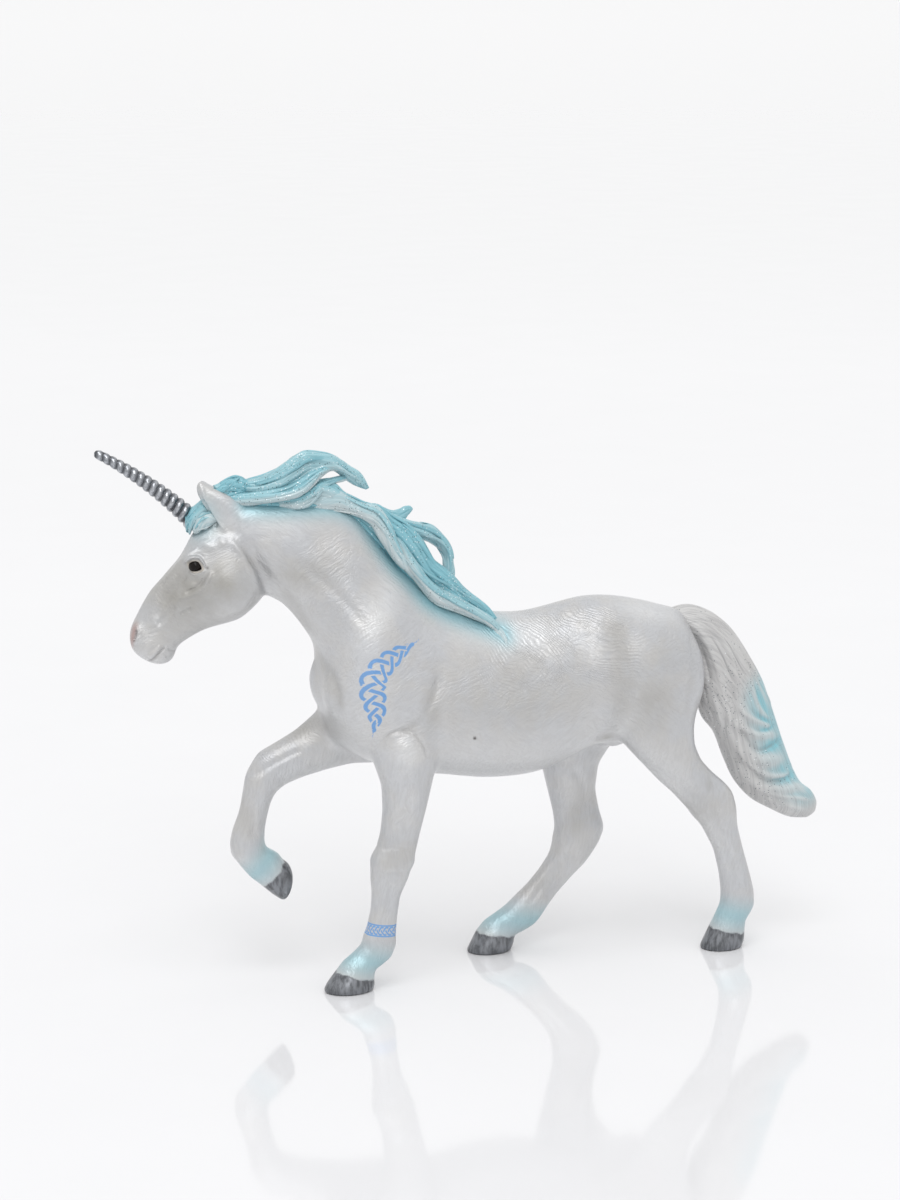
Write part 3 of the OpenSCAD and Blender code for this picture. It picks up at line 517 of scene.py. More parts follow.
class Paint:
    """A new material with its Principled shader and short ways to add nodes."""

    def __init__(self, name):
        self.material = bpy.data.materials.new(name)
        self.material.use_nodes = True
        self.tree = self.material.node_tree
        self.shader = self.tree.nodes["Principled BSDF"]
        self.coordinates = self.tree.nodes.new("ShaderNodeTexCoord").outputs["Object"]

    def from_mesh(self, name, output="Vector"):
        node = self.tree.nodes.new("ShaderNodeAttribute")
        node.attribute_name = name
        return node.outputs[output]

    def attribute(self, name):
        return Num(self.tree, self.from_mesh(name, "Fac"))

    def parts(self, socket, kind="ShaderNodeSeparateXYZ"):
        """The three values of a vector or colour."""
        split = self.tree.nodes.new(kind)
        self.tree.links.new(socket, split.inputs[0])
        return [Num(self.tree, output) for output in split.outputs]

    def placed(self, scale=(1.0, 1.0, 1.0), turned=(0.0, 0.0, 0.0), source=None):
        node = self.tree.nodes.new("ShaderNodeMapping")
        node.inputs["Scale"].default_value = scale
        node.inputs["Rotation"].default_value = [math.radians(a) for a in turned]
        self.tree.links.new(source or self.coordinates, node.inputs["Vector"])
        return node.outputs[0]

    def noise(self, scale, detail=3.0, rough=0.55, distort=0.0, at=None, output=0):
        node = self.tree.nodes.new("ShaderNodeTexNoise")
        values = {"Scale": scale, "Detail": detail, "Roughness": rough, "Distortion": distort}
        for name, value in values.items():
            node.inputs[name].default_value = value
        self.tree.links.new(at or self.coordinates, node.inputs["Vector"])
        return Num(self.tree, node.outputs[output])

    def cells(self, scale):
        node = self.tree.nodes.new("ShaderNodeTexVoronoi")
        node.inputs["Scale"].default_value = scale
        self.tree.links.new(self.coordinates, node.inputs["Vector"])
        return node

    def mix(self, share, first, second):
        node = self.tree.nodes.new("ShaderNodeMix")
        node.data_type = "RGBA"
        self.feed(node.inputs[0], share)
        self.feed(node.inputs[6], first)
        self.feed(node.inputs[7], second)
        return node.outputs[2]

    def feed(self, slot, value):
        if isinstance(value, Num):
            self.tree.links.new(value.socket, slot)
        elif isinstance(value, bpy.types.NodeSocket):
            self.tree.links.new(value, slot)
        elif isinstance(value, tuple) and len(value) == 3:
            slot.default_value = value + (1.0,)
        else:
            slot.default_value = value

    def set(self, **values):
        for name, value in values.items():
            self.feed(self.shader.inputs[name.replace("_", " ")], value)

    def bump(self, height, distance, strength=1.0, under=None):
        node = self.tree.nodes.new("ShaderNodeBump")
        node.inputs["Strength"].default_value = strength
        node.inputs["Distance"].default_value = distance
        self.feed(node.inputs["Height"], height)
        if under is not None:
            self.tree.links.new(under, node.inputs["Normal"])
        return node.outputs[0]


# Body paint

def plait(u, v, half, pitch, line, strands=3):
    """1 on the strands of a flat plait: u along it, v across, both in millimetres."""
    heights, inside, halo = [], [], []
    reach = (half - line).max(0.0)
    for i in range(strands):
        phase = u * (2 * math.pi / pitch) + 2 * math.pi * i / strands
        lean = (phase.op("COSINE") * reach * (2 * math.pi / pitch)).abs()
        away = (v - phase.sin() * reach).abs() / (lean * lean + 1.0).op("SQRT")
        heights.append((phase * 2.0).sin())
        inside.append(away.rise(line * 0.75, line * 1.15, 1.0, 0.0))
        halo.append(away.rise(line * 1.5, line * 1.9, 1.0, 0.0))
    total = None
    for i in range(strands):
        seen = inside[i]
        for j in range(strands):
            if j != i:
                seen = seen * (halo[j] * heights[j].above(heights[i])).rest()
        total = seen if total is None else total.max(seen)
    return total * half.above(0.05)


def body_paint():
    p = Paint("pearl_body")
    # Short hair: noise stretched in three directions, each on its own part of the body
    wavy = p.tree.nodes.new("ShaderNodeVectorMath")
    wavy.operation = "MULTIPLY_ADD"
    p.tree.links.new(p.noise(120.0, 2.0, output=1).socket, wavy.inputs[0])
    wavy.inputs[1].default_value = (0.004, 0.004, 0.004)
    p.tree.links.new(p.coordinates, wavy.inputs[2])
    hairs = [p.noise(1900.0, 3.0, 0.6, 0.2, p.placed((0.16, 1.0, 1.0), source=p.placed(
        turned=(0, angle, 0), source=wavy.outputs[0]))) for angle in (28, -35, 82)]
    zone = p.noise(55.0, 1.0).rise(0.4, 0.6)
    leg = p.attribute("leg")
    hair = hairs[0] * zone + hairs[1] * zone.rest()
    hair = hair * leg.rest() + hairs[2] * leg
    # Engraved waves of hair, in arcs round a point over the croup
    warp = p.noise(105.0, 2.0, 0.5)
    x, _, z = p.parts(p.coordinates)
    x, z = x - 0.034, (z - 0.088) * 1.3
    swirl = ((x * x + z * z).op("SQRT") * 8000.0 + warp * 64.0).sin()
    swirl = swirl * p.noise(170.0, 2.0).rise(0.3, 0.55, 0.25, 1.0)
    ripple = p.attribute("ripple")
    hoof = p.attribute("hoof")
    shade = p.attribute("shade")
    cyan = p.attribute("cyan")
    blotch = p.noise(140.0, 4.0, 0.6)
    colour = p.mix(blotch.rise(0.35, 0.65), (0.525, 0.535, 0.555), (0.55, 0.545, 0.54))
    # Painted bounce light: skin that faces down is lighter, as if lit from the floor below
    colour = p.mix(p.attribute("under") * 0.9, colour, (0.66, 0.665, 0.67))
    # Painted highlights: lighter pearl patches where highlights fall
    colour = p.mix(p.attribute("painted_highlight"), colour, (0.80, 0.81, 0.82))
    # Painted shade: warm grey in the grooves, hollows and folds, with a few stains
    colour = p.mix(shade * (blotch * 1.6 + 0.2), colour, (0.36, 0.35, 0.325))
    colour = p.mix(hair.rise(0.35, 0.62, 0.17, 0.0), colour, (0.34, 0.33, 0.33))
    colour = p.mix(cyan * (blotch * 0.5 + 0.75), colour, (0.26, 0.53, 0.60))
    u, v, half = p.parts(p.from_mesh("knot"))
    motif = plait(u, v, half, 8.4, 0.42)
    u, v, half = p.parts(p.from_mesh("band"))
    inner = plait(u, v, half, 3.4, 0.2)
    rim = (v.abs() - 1.15).abs().rise(0.12, 0.2, 1.0, 0.0) * half
    inner = inner * v.abs().above(1.0).rest()
    blue = motif.max(inner.max(rim))
    colour = p.mix(blue * (blotch * 0.3 + 0.8), colour, (0.15, 0.34, 0.66))
    colour = p.mix(p.attribute("cream"), colour, (0.52, 0.46, 0.38))
    colour = p.mix(p.attribute("pink"), colour, (0.42, 0.29, 0.27))
    colour = p.mix(p.attribute("dark"), colour, (0.05, 0.04, 0.035))
    metal = p.noise(1300.0, 4.0, 0.6, 0.0, p.placed((1.0, 1.0, 0.22))) + p.attribute("wall") * 0.1
    horn_colour = p.mix(metal.rise(0.34, 0.74), (0.095, 0.10, 0.108), (0.24, 0.25, 0.27))
    colour = p.mix(hoof, colour, horn_colour)
    p.set(Base_Color=colour, Metallic=hoof * 0.45 + 0.38, Roughness=hair * 0.12 + shade * 0.14 + 0.29)
    p.set(Coat_Weight=0.3, Coat_Roughness=0.25)
    fine = p.bump(hair * hoof.rest(), 0.00026, 0.8)
    p.set(Normal=p.bump(swirl * ripple, 0.00006, 0.9, fine))
    return p.material


# Hair: name, light and mid colours of the strands, the deep one painted as shade in the cuts and also
# darkening the fine fibres, a second tint, and how many bright and dark specks there are
CYAN_HAIR = ("cyan_hair", (0.37, 0.61, 0.665), (0.22, 0.49, 0.565), (0.06, 0.26, 0.32), (0.3, 0.5, 0.6),
             0.30, 0.20)
PEARL_TAIL = ("pearl_tail", (0.61, 0.61, 0.605), (0.50, 0.49, 0.485), (0.25, 0.25, 0.26),
              (0.22, 0.51, 0.58), 0.05, 0.22)


def strand_paint(name, light, mid, deep, tint, bright, dark):
    p = Paint(name)
    depth, pale, tone = p.attribute("depth"), p.attribute("pale"), p.attribute("tone")
    fibre = p.noise(1.0, 3.0, 0.6, 0.0, p.placed((0.12, 2.6, 1.0), source=p.from_mesh("flow")))
    blotch = p.noise(150.0, 3.0)
    colour = p.mix((blotch * 0.7 + tone * 0.8 - 0.25).rise(0.1, 0.9), light, mid)
    colour = p.mix(p.attribute("cyan") * (blotch * 0.6 + 0.65), colour, tint)
    # Painted shade deepens the cuts between the strands
    colour = p.mix(depth.rise(0.35, 1.0, 0.0, 0.75), colour, deep)
    colour = p.mix(fibre.rise(0.35, 0.6, 0.35, 0.0), colour, deep)
    colour = p.mix(pale * fibre.rise(0.25, 0.55, 0.55, 0.95), colour, (0.60, 0.64, 0.645))
    cells = p.cells(2500.0)
    pick = p.parts(cells.outputs["Color"], "ShaderNodeSeparateColor")[0]
    dot = Num(p.tree, cells.outputs["Distance"]).rise(0.26, 0.36, 1.0, 0.0)
    crowd = p.noise(95.0, 2.0).rise(0.42, 0.62, 0.1, 1.0)
    sparkle = dot * (pick - crowd * bright).op("LESS_THAN", 0.0)
    speck = dot * (pick + crowd * dark).above(1.0)
    colour = p.mix(speck * 0.75, colour, (0.04, 0.07, 0.09))
    colour = p.mix(sparkle * 0.75, colour, (0.86, 0.90, 0.92))
    p.set(Base_Color=colour, Roughness=fibre * 0.15 + 0.26, Metallic=sparkle * 0.6)
    p.set(Coat_Weight=0.35, Coat_Roughness=0.15)
    p.set(Normal=p.bump(fibre, 0.00022, 0.7))
    return p.material


def horn_paint():
    p = Paint("steel_horn")
    depth = p.attribute("depth")
    grain = p.noise(1500.0, 3.0, 0.65)
    colour = p.mix(grain.rise(0.3, 0.7), (0.25, 0.26, 0.28), (0.52, 0.54, 0.57))
    # Painted shade: darker toward the wound groove and near black inside it
    colour = p.mix(depth.rise(0.0, 0.35, 0.0, 0.75), colour, (0.13, 0.137, 0.152))
    colour = p.mix(depth.rise(0.4, 1.0, 0.0, 0.85), colour, (0.03, 0.032, 0.038))
    p.set(Base_Color=colour, Metallic=0.9, Roughness=grain * 0.12 + 0.17)
    p.set(Normal=p.bump(grain, 0.00008, 0.6))
    return p.material


def eye_paint():
    p = Paint("black_eye")
    tint = p.noise(700.0, 2.0)
    p.set(Base_Color=p.mix(tint, (0.003, 0.003, 0.003), (0.012, 0.007, 0.005)))
    p.set(Roughness=tint * 0.05 + 0.16, Specular_IOR_Level=0.18)
    return p.material


# Sculpting

def along_line(points, line):
    """Distance from a smooth line through places, the same signed to its left, share of its length and
    length passed."""
    line = smooth_rows(line, 6)
    best = np.full(len(points), 1e9)
    signed = np.zeros(len(points))
    passed = np.zeros(len(points))
    lengths = np.linalg.norm(np.diff(line, axis=0), axis=1)
    before = np.concatenate([[0.0], np.cumsum(lengths)])
    for i, (a, b) in enumerate(zip(line[:-1], line[1:])):
        run = b - a
        offset = points - a
        t = np.clip((offset @ run) / (run @ run), 0.0, 1.0)
        gap = offset - t[:, None] * run
        far = np.hypot(gap[:, 0], gap[:, 1])
        nearer = far < best
        best[nearer] = far[nearer]
        passed[nearer] = before[i] + t[nearer] * lengths[i]
        signed[nearer] = np.sign(offset[nearer, 1] * run[0] - offset[nearer, 0] * run[1])
    return best, best * signed, passed / before[-1], passed


def near_line(points, line, width):
    """Numbers of the points that lie within three widths of a line's box."""
    line = smooth_rows(line, 6)
    low, high = line.min(axis=0) - 3 * width, line.max(axis=0) + 3 * width
    return np.flatnonzero(np.all((points > low) & (points < high), axis=1))


def stroke(rise, flat, facing, line, width, height, side=0, across=None, crease=None):
    """Adds a ridge, or with a negative height a groove, along a line seen from the side.
    Its profile is a bell of the given width, and it fades at both ends. Grooves also add to the crease."""
    near = near_line(flat, line, width)
    if side:
        near = near[across[near] * side > 0.0]
    far, _, share, _ = along_line(flat[near], line)
    fade = step_up(np.minimum(share, 1.0 - share), -0.01, 0.18)
    rise[near] += height * np.exp(-(far / width) ** 2) * fade * facing[near]
    if crease is not None and height < 0:
        crease[near] = np.maximum(crease[near], -height * np.exp(-(far / (1.2 * width)) ** 2) * fade)


def swell(rise, flat, facing, x, z, long, high, height, angle=0.0, side=0, across=None):
    """Adds a soft mound, or with a negative height a hollow, seen from the side."""
    a = math.radians(angle)
    dx, dz = flat[:, 0] - x, flat[:, 1] - z
    u, v = dx * math.cos(a) + dz * math.sin(a), -dx * math.sin(a) + dz * math.cos(a)
    share = (u / long) ** 2 + (v / high) ** 2
    near = share < 6.0
    if side:
        near &= across * side > 0.0
    rise[near] += height * np.exp(-share[near]) * facing[near]


# Trunk and legs on the plan: mounds and hollows as x, z, half length, half height, height, angle, side
BODY_SWELLS = [(-25, 79, 5, 8, 1.15, -25, 0), (-27.5, 66, 6, 7.5, 0.6, 20, 0),
    (-15.5, 62, 3.6, 6.5, 0.5, 15, 0), (-8, 74, 7, 6, 0.25, 0, 0), (38, 66, 7, 9, 0.7, 0, 0),
    (27, 57, 3.4, 4, 0.4, 0, 0), (29.5, 76, 3, 2.4, 0.4, -10, 0), (45, 72, 4, 6, 0.4, 0, 0),
    (6, 60, 14, 8, 0.35, 0, 0), (21, 70, 3.5, 7, -0.45, 0, 0), (-35, 82, 5, 7, 0.35, -35, 0),
    (-46, 98, 6, 3, 0.3, -10, 0), (-20.5, 53.5, 2.2, 1.8, 0.45, 0, -1), (-18.5, 45, 2.6, 6, 0.35, 8, -1),
    (-26, 28.5, 1.6, 2.2, 0.35, 0, -1), (-17.8, 27.5, 1.2, 1.5, 0.35, 0, -1),
    (-28.2, 11.5, 1.8, 1.6, 0.25, 0, -1), (-22, 9.5, 1.3, 1.5, 0.25, 0, -1),
    (-52, 27.5, 1.6, 1.6, 0.3, 0, 1), (-44.5, 28, 1.2, 1.2, 0.25, 0, 1), (-47, 50, 2, 4, 0.3, -60, 1),
    (57, 32, 2, 2.6, 0.4, 0, -1), (49, 31, 1.4, 2.6, 0.3, 20, -1), (59, 11.5, 1.8, 1.7, 0.3, 0, -1),
    (31, 27, 1.8, 2.4, 0.35, 0, 1), (22.5, 24, 1.3, 2.4, 0.3, 0, 1)]
# Ridges and grooves: line, width, height, side
BODY_STROKES = [([(-54, 97), (-48, 91.5), (-43, 86), (-39, 80), (-36, 75)], 1.3, -0.55, 0),
    ([(-45, 96), (-37, 90), (-31, 84), (-27, 78)], 1.1, -0.25, 0),
    ([(-40, 101), (-34, 95), (-28, 90), (-23, 86)], 1.4, -0.22, 0),
    ([(-39.5, 79), (-37.6, 75), (-35.2, 71), (-33.8, 66), (-33.5, 60)], 0.9, -0.7, 0),
    ([(-36.8, 73), (-36, 69.6), (-36.4, 66.5)], 0.6, -0.4, 0),
    ([(-12, 70), (-13.5, 65), (-16, 60.5), (-19, 57.6), (-22, 56.8)], 1, -0.5, 0),
    ([(-24.8, 53.8), (-24, 56), (-21.5, 57.2), (-18.5, 56.6), (-16, 53.5), (-15, 50)], 0.4, -0.4, -1),
    ([(-13.5, 73), (-12.5, 66), (-13.5, 58), (-15, 52)], 2, -0.25, 0),
    ([(28, 79), (30, 72), (30.5, 65), (29.5, 58), (28, 53)], 3, -0.6, 0),
    ([(16, 49.5), (20, 51.5), (25, 53.5), (29, 54.2)], 0.7, 0.45, 0),
    ([(24.5, 52), (25.5, 50.2), (28, 49.3), (31, 49.6)], 0.5, -0.3, 0),
    ([(47, 74), (46.5, 66), (45, 58), (43, 50)], 1.2, -0.3, 0),
    ([(-21, 50), (-20, 44), (-20.5, 38), (-22, 33)], 1.2, -0.35, -1),
    ([(-22.4, 24), (-23, 20), (-24.2, 15.5)], 0.8, -0.28, -1),
    ([(-25.6, 25.5), (-22.5, 26.2), (-19.5, 25.4)], 0.45, -0.22, -1),
    ([(-25.5, 31), (-22.3, 31.6), (-18.5, 31)], 0.5, -0.18, -1),
    ([(-54, 50.5), (-47, 53.5), (-41, 56.5), (-36, 59)], 0.7, -0.3, 1),
    ([(-50, 44.5), (-43, 48.5), (-37, 51)], 0.7, -0.3, 1),
    ([(-49.8, 40), (-48.8, 35), (-48.2, 31)], 0.9, -0.28, 1),
    ([(37, 44), (41, 41), (46, 38), (50, 35.5)], 1.2, -0.35, -1),
    ([(54.5, 27), (57.5, 20), (60, 14)], 0.9, -0.3, -1), ([(53, 33), (54, 29.5), (55, 27)], 0.6, -0.25, -1),
    ([(24, 42), (27, 37), (28.5, 31)], 1.1, -0.28, 1),
    ([(26, 24), (22, 18.5), (17, 13), (14, 9.5)], 0.9, -0.3, 1)]
# Head, in its own frame
HEAD_SWELLS = [(-13.2, -5.4, 3.4, 0.8, 0.4, 48, 0), (-12.6, -7.6, 2.8, 0.8, -0.3, 50, 0),
    (-8.6, -12.6, 3, 1.2, -0.2, 35, 0), (-4.2, -9.8, 4.6, 5.6, 0.55, 0, 0),
    (-8, -1.4, 2.2, 1.1, 0.35, -12, 0), (-4.6, -0.9, 1.3, 1, 0.35, 0, 0),
    (-15.6, -9.3, 2.6, 0.9, 0.3, 50, 0), (-22.4, -18.6, 0.9, 1.3, 0.22, 20, 0),
    (-19.4, -25, 1.6, 0.9, 0.25, 25, 0), (-21, -22.6, 1.8, 1.4, 0.12, 0, 0),
    (-10.4, -8.8, 1.6, 0.7, -0.25, -10, 0), (-12.9, -10, 1.5, 0.8, -0.25, 45, 0),
    (-14.5, -17.5, 2, 2, -0.15, 0, 0)]
HEAD_STROKES = [([(-12.2, -7), (-14, -9.2), (-15.8, -11.6), (-17.6, -14.4), (-19.4, -17.2)], 0.9, -0.3, 0),
    ([(-11, -2.6), (-12.9, -4.4), (-15, -6.8), (-17.6, -10), (-20.2, -13.6)], 0.7, 0.2, 0),
    ([(-7, -6.4), (-7.3, -7.6), (-8.6, -9.9), (-10.6, -11.3), (-12.9, -12.3), (-14.5, -12.8)], 0.5, 0.32,
     0), ([(-8.2, -7.6), (-9.4, -9.4), (-11.2, -10.6), (-12.8, -11.2)], 0.4, -0.25, 0),
    ([(-3.6, 0.4), (-2.6, -1), (-0.8, -3.2), (1, -6.2), (2.1, -9.2), (2.4, -11.6), (1.6, -14)], 0.7, 0.3,
     0), ([(-1, 0.6), (0.9, -2.4), (2.9, -5.8), (4, -9.4), (4.2, -12.4)], 1.3, -0.2, 0),
    ([(0.2, 1.6), (1.4, -1.4), (3.4, -4.4), (7.6, -6.8)], 0.8, -0.1, 0),
    ([(-15.9, -8.2), (-16.8, -9.2), (-17.7, -10.3)], 0.3, -0.2, 0),
    ([(-14.6, -13.9), (-15.6, -14.9), (-17.4, -16.9), (-18.8, -18.2)], 0.6, -0.25, 0),
    ([(-11.2, -14.4), (-12.4, -15.1), (-13.9, -15.8)], 0.4, -0.22, 0),
    ([(-20.9, -25.7), (-19.8, -25.2), (-18.6, -24.2), (-17.3, -22.9), (-16.8, -22.3)], 0.24, -0.3, 0),
    ([(-20.9, -24.6), (-19.2, -23.6), (-17.8, -22.1)], 0.4, 0.2, 0),
    ([(-22.8, -17.8), (-22.5, -19), (-22.7, -20.6), (-23.4, -22.2)], 0.3, 0.3, 0),
    ([(-23, -19.2), (-23.2, -20.2), (-23.7, -21.4)], 0.34, -0.75, 0),
    ([(-12.2, -5.6), (-11.9, -4.6), (-10.9, -3.95), (-9.6, -4.1), (-8.8, -5), (-8.2, -6.1)], 0.26, 0.42, 0),
    ([(-12, -6.4), (-11.2, -7.2), (-10.1, -7.5), (-9, -7), (-8.3, -6.3)], 0.22, 0.26, 0),
    ([(-12.6, -4.4), (-11.4, -3.4), (-9.8, -3.2), (-8.4, -3.9)], 0.3, -0.1, 0),
    ([(-9.4, 11.4), (-8.5, 9), (-7.2, 6.2), (-5.4, 3.2), (-3.6, 0.8)], 0.42, 0.3, 0),
    ([(-8.9, 8.2), (-7.9, 6), (-6.6, 3.6), (-5.6, 2)], 0.55, -0.45, 0),
    ([(-14.2, -23), (-15, -23.6), (-16.6, -23)], 0.3, -0.15, 0),
    ([(-16.9, -24.6), (-18.2, -25.4), (-19.4, -25.8)], 0.35, 0.22, 0)]
# How much the head's relief is raised, how deep the eye's opening is, and how strongly grooves are shaded
HEAD_RELIEF, EYE_DEPTH, BODY_CREASE, HEAD_CREASE = 1.4, 0.95, 0.55, 0.35
EYE = np.array([-10.4, -5.75])
EYE_SIZE = np.array([1.27, 0.93])
EYE_TILT = math.radians(-22.0)
EYEBALL = np.array([1.5, 1.35, 1.35])
# How far the eyeball's middle lies inside the cheek, and the caps' middles inside their rims
EYE_INSET = 1.3
CAP_DEPTH = 0.3


def eye_share(flat):
    """1 on the edge of the eye's opening, a rounded and tilted lozenge, and less inside it."""
    dx, dz = flat[:, 0] - EYE[0], flat[:, 1] - EYE[1]
    u = dx * math.cos(EYE_TILT) + dz * math.sin(EYE_TILT)
    v = -dx * math.sin(EYE_TILT) + dz * math.cos(EYE_TILT)
    return (np.abs(u / EYE_SIZE[0]) ** 1.5 + np.abs(v / EYE_SIZE[1]) ** 1.5) ** (1 / 1.5)


def relief(flat, across, facing, swells, strokes):
    """How far mounds, ridges and grooves move the points out, and how deep the grooves are."""
    rise, crease = np.zeros(len(flat)), np.zeros(len(flat))
    for mound in swells:
        swell(rise, flat, facing, *mound, across)
    for ridge in strokes:
        stroke(rise, flat, facing, *ridge, across, crease)
    return rise, crease


def sculpted(points, normals):
    """Points moved along their normals by every ridge, groove and mound, and how deep the grooves are."""
    at = points + MIDDLE
    # The relief is laid on from both sides, so it fades where the skin faces front, back, up or down
    facing = step_up(np.abs(normals[:, 1]), 0.05, 0.45)
    rise, crease = relief(at[:, [0, 2]], at[:, 1], facing, BODY_SWELLS, BODY_STROKES)
    head = in_head(points)
    reach = (1.0 - step_up(head[:, 0], 4.0, 8.0)) * (at[:, 2] > 60.0)
    own = np.flatnonzero(reach > 0)
    flat, across = head[own][:, [0, 2]], head[own][:, 1]
    facing = step_up(np.abs(normals[own] @ HEAD_AXES[:, 1]), 0.05, 0.45)
    head_rise, head_crease = relief(flat, across, facing, HEAD_SWELLS, HEAD_STROKES)
    opening = 1.0 - step_up(eye_share(flat), 0.82, 1.08)
    head_rise = HEAD_RELIEF * head_rise - EYE_DEPTH * opening * facing
    rise[own] += head_rise * reach[own]
    crease *= BODY_CREASE * step_up(at[:, 2], 46.0, 58.0)
    crease[own] = np.maximum(crease[own], HEAD_CREASE * head_crease * reach[own])
    return points + rise[:, None] * normals, crease


# Pieces

def raw_mesh(name, points, corners, sizes):
    """Mesh from points in millimetres, the corners of its faces in one row, and their numbers."""
    mesh = bpy.data.meshes.new(name)
    mesh.vertices.add(len(points))
    inside = np.clip(np.asarray(points) * MM, BOX_LOW, BOX_HIGH)
    mesh.vertices.foreach_set("co", inside.astype(np.float32).ravel())
    mesh.loops.add(len(corners))
    mesh.loops.foreach_set("vertex_index", np.asarray(corners, np.int32))
    mesh.polygons.add(len(sizes))
    starts = np.concatenate([[0], np.cumsum(sizes)[:-1]]).astype(np.int32)
    mesh.polygons.foreach_set("loop_start", starts)
    mesh.update(calc_edges=True)
    mesh.polygons.foreach_set("use_smooth", np.ones(len(sizes), bool))
    return mesh


def dressed(name, mesh, materials, attributes, normals=None):
    """Object from a mesh, with the paint's values at each point, riding on the body."""
    for key, values in attributes.items():
        values = np.asarray(values, np.float32)
        kind = "FLOAT_VECTOR" if values.ndim > 1 else "FLOAT"
        layer = mesh.attributes.new(key, kind, "POINT")
        layer.data.foreach_set("vector" if values.ndim > 1 else "value", values.ravel())
    if normals is not None:
        mesh.normals_split_custom_set(normals.tolist())
    for material in materials:
        mesh.materials.append(material)
    thing = bpy.data.objects.new(name, mesh)
    scene.collection.objects.link(thing)
    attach(thing, "root")
    return thing


def rims(corners, sizes):
    """Open edges as loops of points, turned against the faces' own turn."""
    starts = np.cumsum(sizes) - sizes
    after = np.arange(1, len(corners) + 1)
    after[starts + sizes - 1] = starts
    a, b = corners.astype(np.int64), corners[after].astype(np.int64)
    count = int(corners.max()) + 1
    forward, back = a * count + b, b * count + a
    lone = ~np.isin(forward, back)
    onward = {}
    for s, e in zip(a[lone].tolist(), b[lone].tolist()):
        onward.setdefault(e, []).append(s)
    loops = []
    while onward:
        start = next(iter(onward))
        loop = [start]
        while True:
            options = onward[loop[-1]]
            following = options.pop()
            if not options:
                del onward[loop[-1]]
            if following == start:
                break
            loop.append(following)
        loops.append(loop)
    return loops


def ball(middle, size, n=28):
    """Closed ball in the head's frame, as points and faces."""
    down = math.pi * np.arange(1, n // 2)[:, None] / (n // 2)
    around = 2 * math.pi * np.arange(n) / n
    points = np.stack([np.sin(down) * np.cos(around), np.cos(down) + 0 * around,
                       np.sin(down) * np.sin(around)], axis=-1).reshape(-1, 3)
    points = np.concatenate([points, [(0, 1, 0), (0, -1, 0)]])
    return points * size + middle, [f[::-1] for f in grid_faces(n // 2 - 1, n)]


# Coronets: the upper edge of each hoof on the plan, front to back
CORONETS = {"left_foreleg": np.array([[-34.7, 4.5], [-26.4, 2.2]]),
            "right_foreleg": np.array([[-46.0, 20.2], [-41.3, 25.7]]),
            "left_hindleg": np.array([[53.2, 5.0], [61.6, 3.0]]),
            "right_hindleg": np.array([[3.3, 4.7], [12.0, 3.2]])}
# Warm grey spots of painted shade in hollows, in folds and under the mane, a few of them stains: x, z, half
# length, half height, strength
SHADES = [(-38, 91, 9, 4, 0.5), (36, 58, 6, 8, 0.45), (30.5, 63, 5, 10, 0.35), (51, 38.5, 1.2, 1.8, 0.5),
    (-22, 30, 4, 4, 0.25), (48, 33, 5, 5, 0.45), (-14.5, 61, 2.5, 6, 0.4), (-38, 56, 5, 3.5, 0.5),
    (-38.5, 70, 1.6, 5, 0.45), (4, 63, 16, 8, 0.35), (40, 69, 6, 6, 0.25), (-33, 84, 7, 6, 0.2),
    (26, 30, 3, 4.5, 0.4), (18, 14, 4, 3, 0.25), (27.6, 50.6, 2.2, 1.1, 0.7), (-50, 36, 2.5, 4, 0.2)]
HEAD_SHADES = [(-12, -12, 10, 9, 0.8), (-4.6, -9, 6, 6.5, 0.85), (-15, -14, 3, 2.5, 0.35),
    (-9, -8.8, 2, 1, 0.5), (-10.4, -3.2, 3, 0.8, 0.4), (-16.8, -9.2, 1.2, 0.6, 0.4),
    (-19, -18, 2, 1.6, 0.35)]
# Painted highlights, patches of lighter pearl colour where highlights fall: x, z, half length, half height,
# strength, angle
PAINTED_HIGHLIGHTS = [(-25, 82, 9, 3.5, 0.55, 55), (6, 75, 13, 3.5, 0.6, -8), (-44, 101, 9, 2, 0.5, -6),
    (38, 77.5, 8, 2, 0.45, -12), (-20, 52.5, 3, 3, 0.5, 0), (-28, 69, 5, 6, 0.25, 0)]
# Edge of the mane on the neck, mouth and nostril
HAIR_LINE = [(-50.5, 105.3), (-45, 104.9), (-38, 104.7), (-33, 104.4), (-29, 103.2), (-26, 101),
    (-24, 98.5), (-22, 95.2), (-19.4, 91.6), (-16, 88), (-12.8, 83.8), (-8, 80.8), (-3, 78.6), (4, 75.5)]
MOUTH = [(-20.6, -25.6), (-19.8, -25.2), (-18.6, -24.2), (-17.3, -22.9)]
NOSTRIL = [(-23, -19.3), (-23.2, -20.2), (-23.6, -21.2)]
# Plaited motif on the left shoulder: the middle of its band, and its half width along the way
KNOT_LINE = [(-17.9, 75.4), (-20.6, 74.2), (-23.6, 72.6), (-26.2, 70.4), (-27.4, 67.6), (-27, 64.4),
    (-26.4, 61.2), (-26.5, 57.4)]
KNOT_HALF = [0.3, 1.7, 2.5, 2.8, 3.0, 2.6, 1.9, 0.3]


def hoof_height(at, node):
    """Height above a hoof's coronet, for the points near that hoof, and which points are near."""
    hx, hy, hz = HOOVES[node]
    start, end = CORONETS[node]
    run = (end - start) / np.linalg.norm(end - start)
    height = (at[:, 0] - start[0]) * -run[1] + (at[:, 2] - start[1]) * run[0]
    near = (np.abs(at[:, 0] - hx) < 15) & (np.abs(at[:, 2] - hz) < 15) & (at[:, 1] * hy > 0)
    return height, near


def spots(table, flat):
    """The strongest of a table's soft spots at each point."""
    result = np.zeros(len(flat))
    for x, z, long, high, weight, *angle in table:
        spot = np.zeros(len(flat))
        swell(spot, flat, np.ones(len(flat)), x, z, long, high, weight, *angle)
        result = np.maximum(result, spot)
    return result


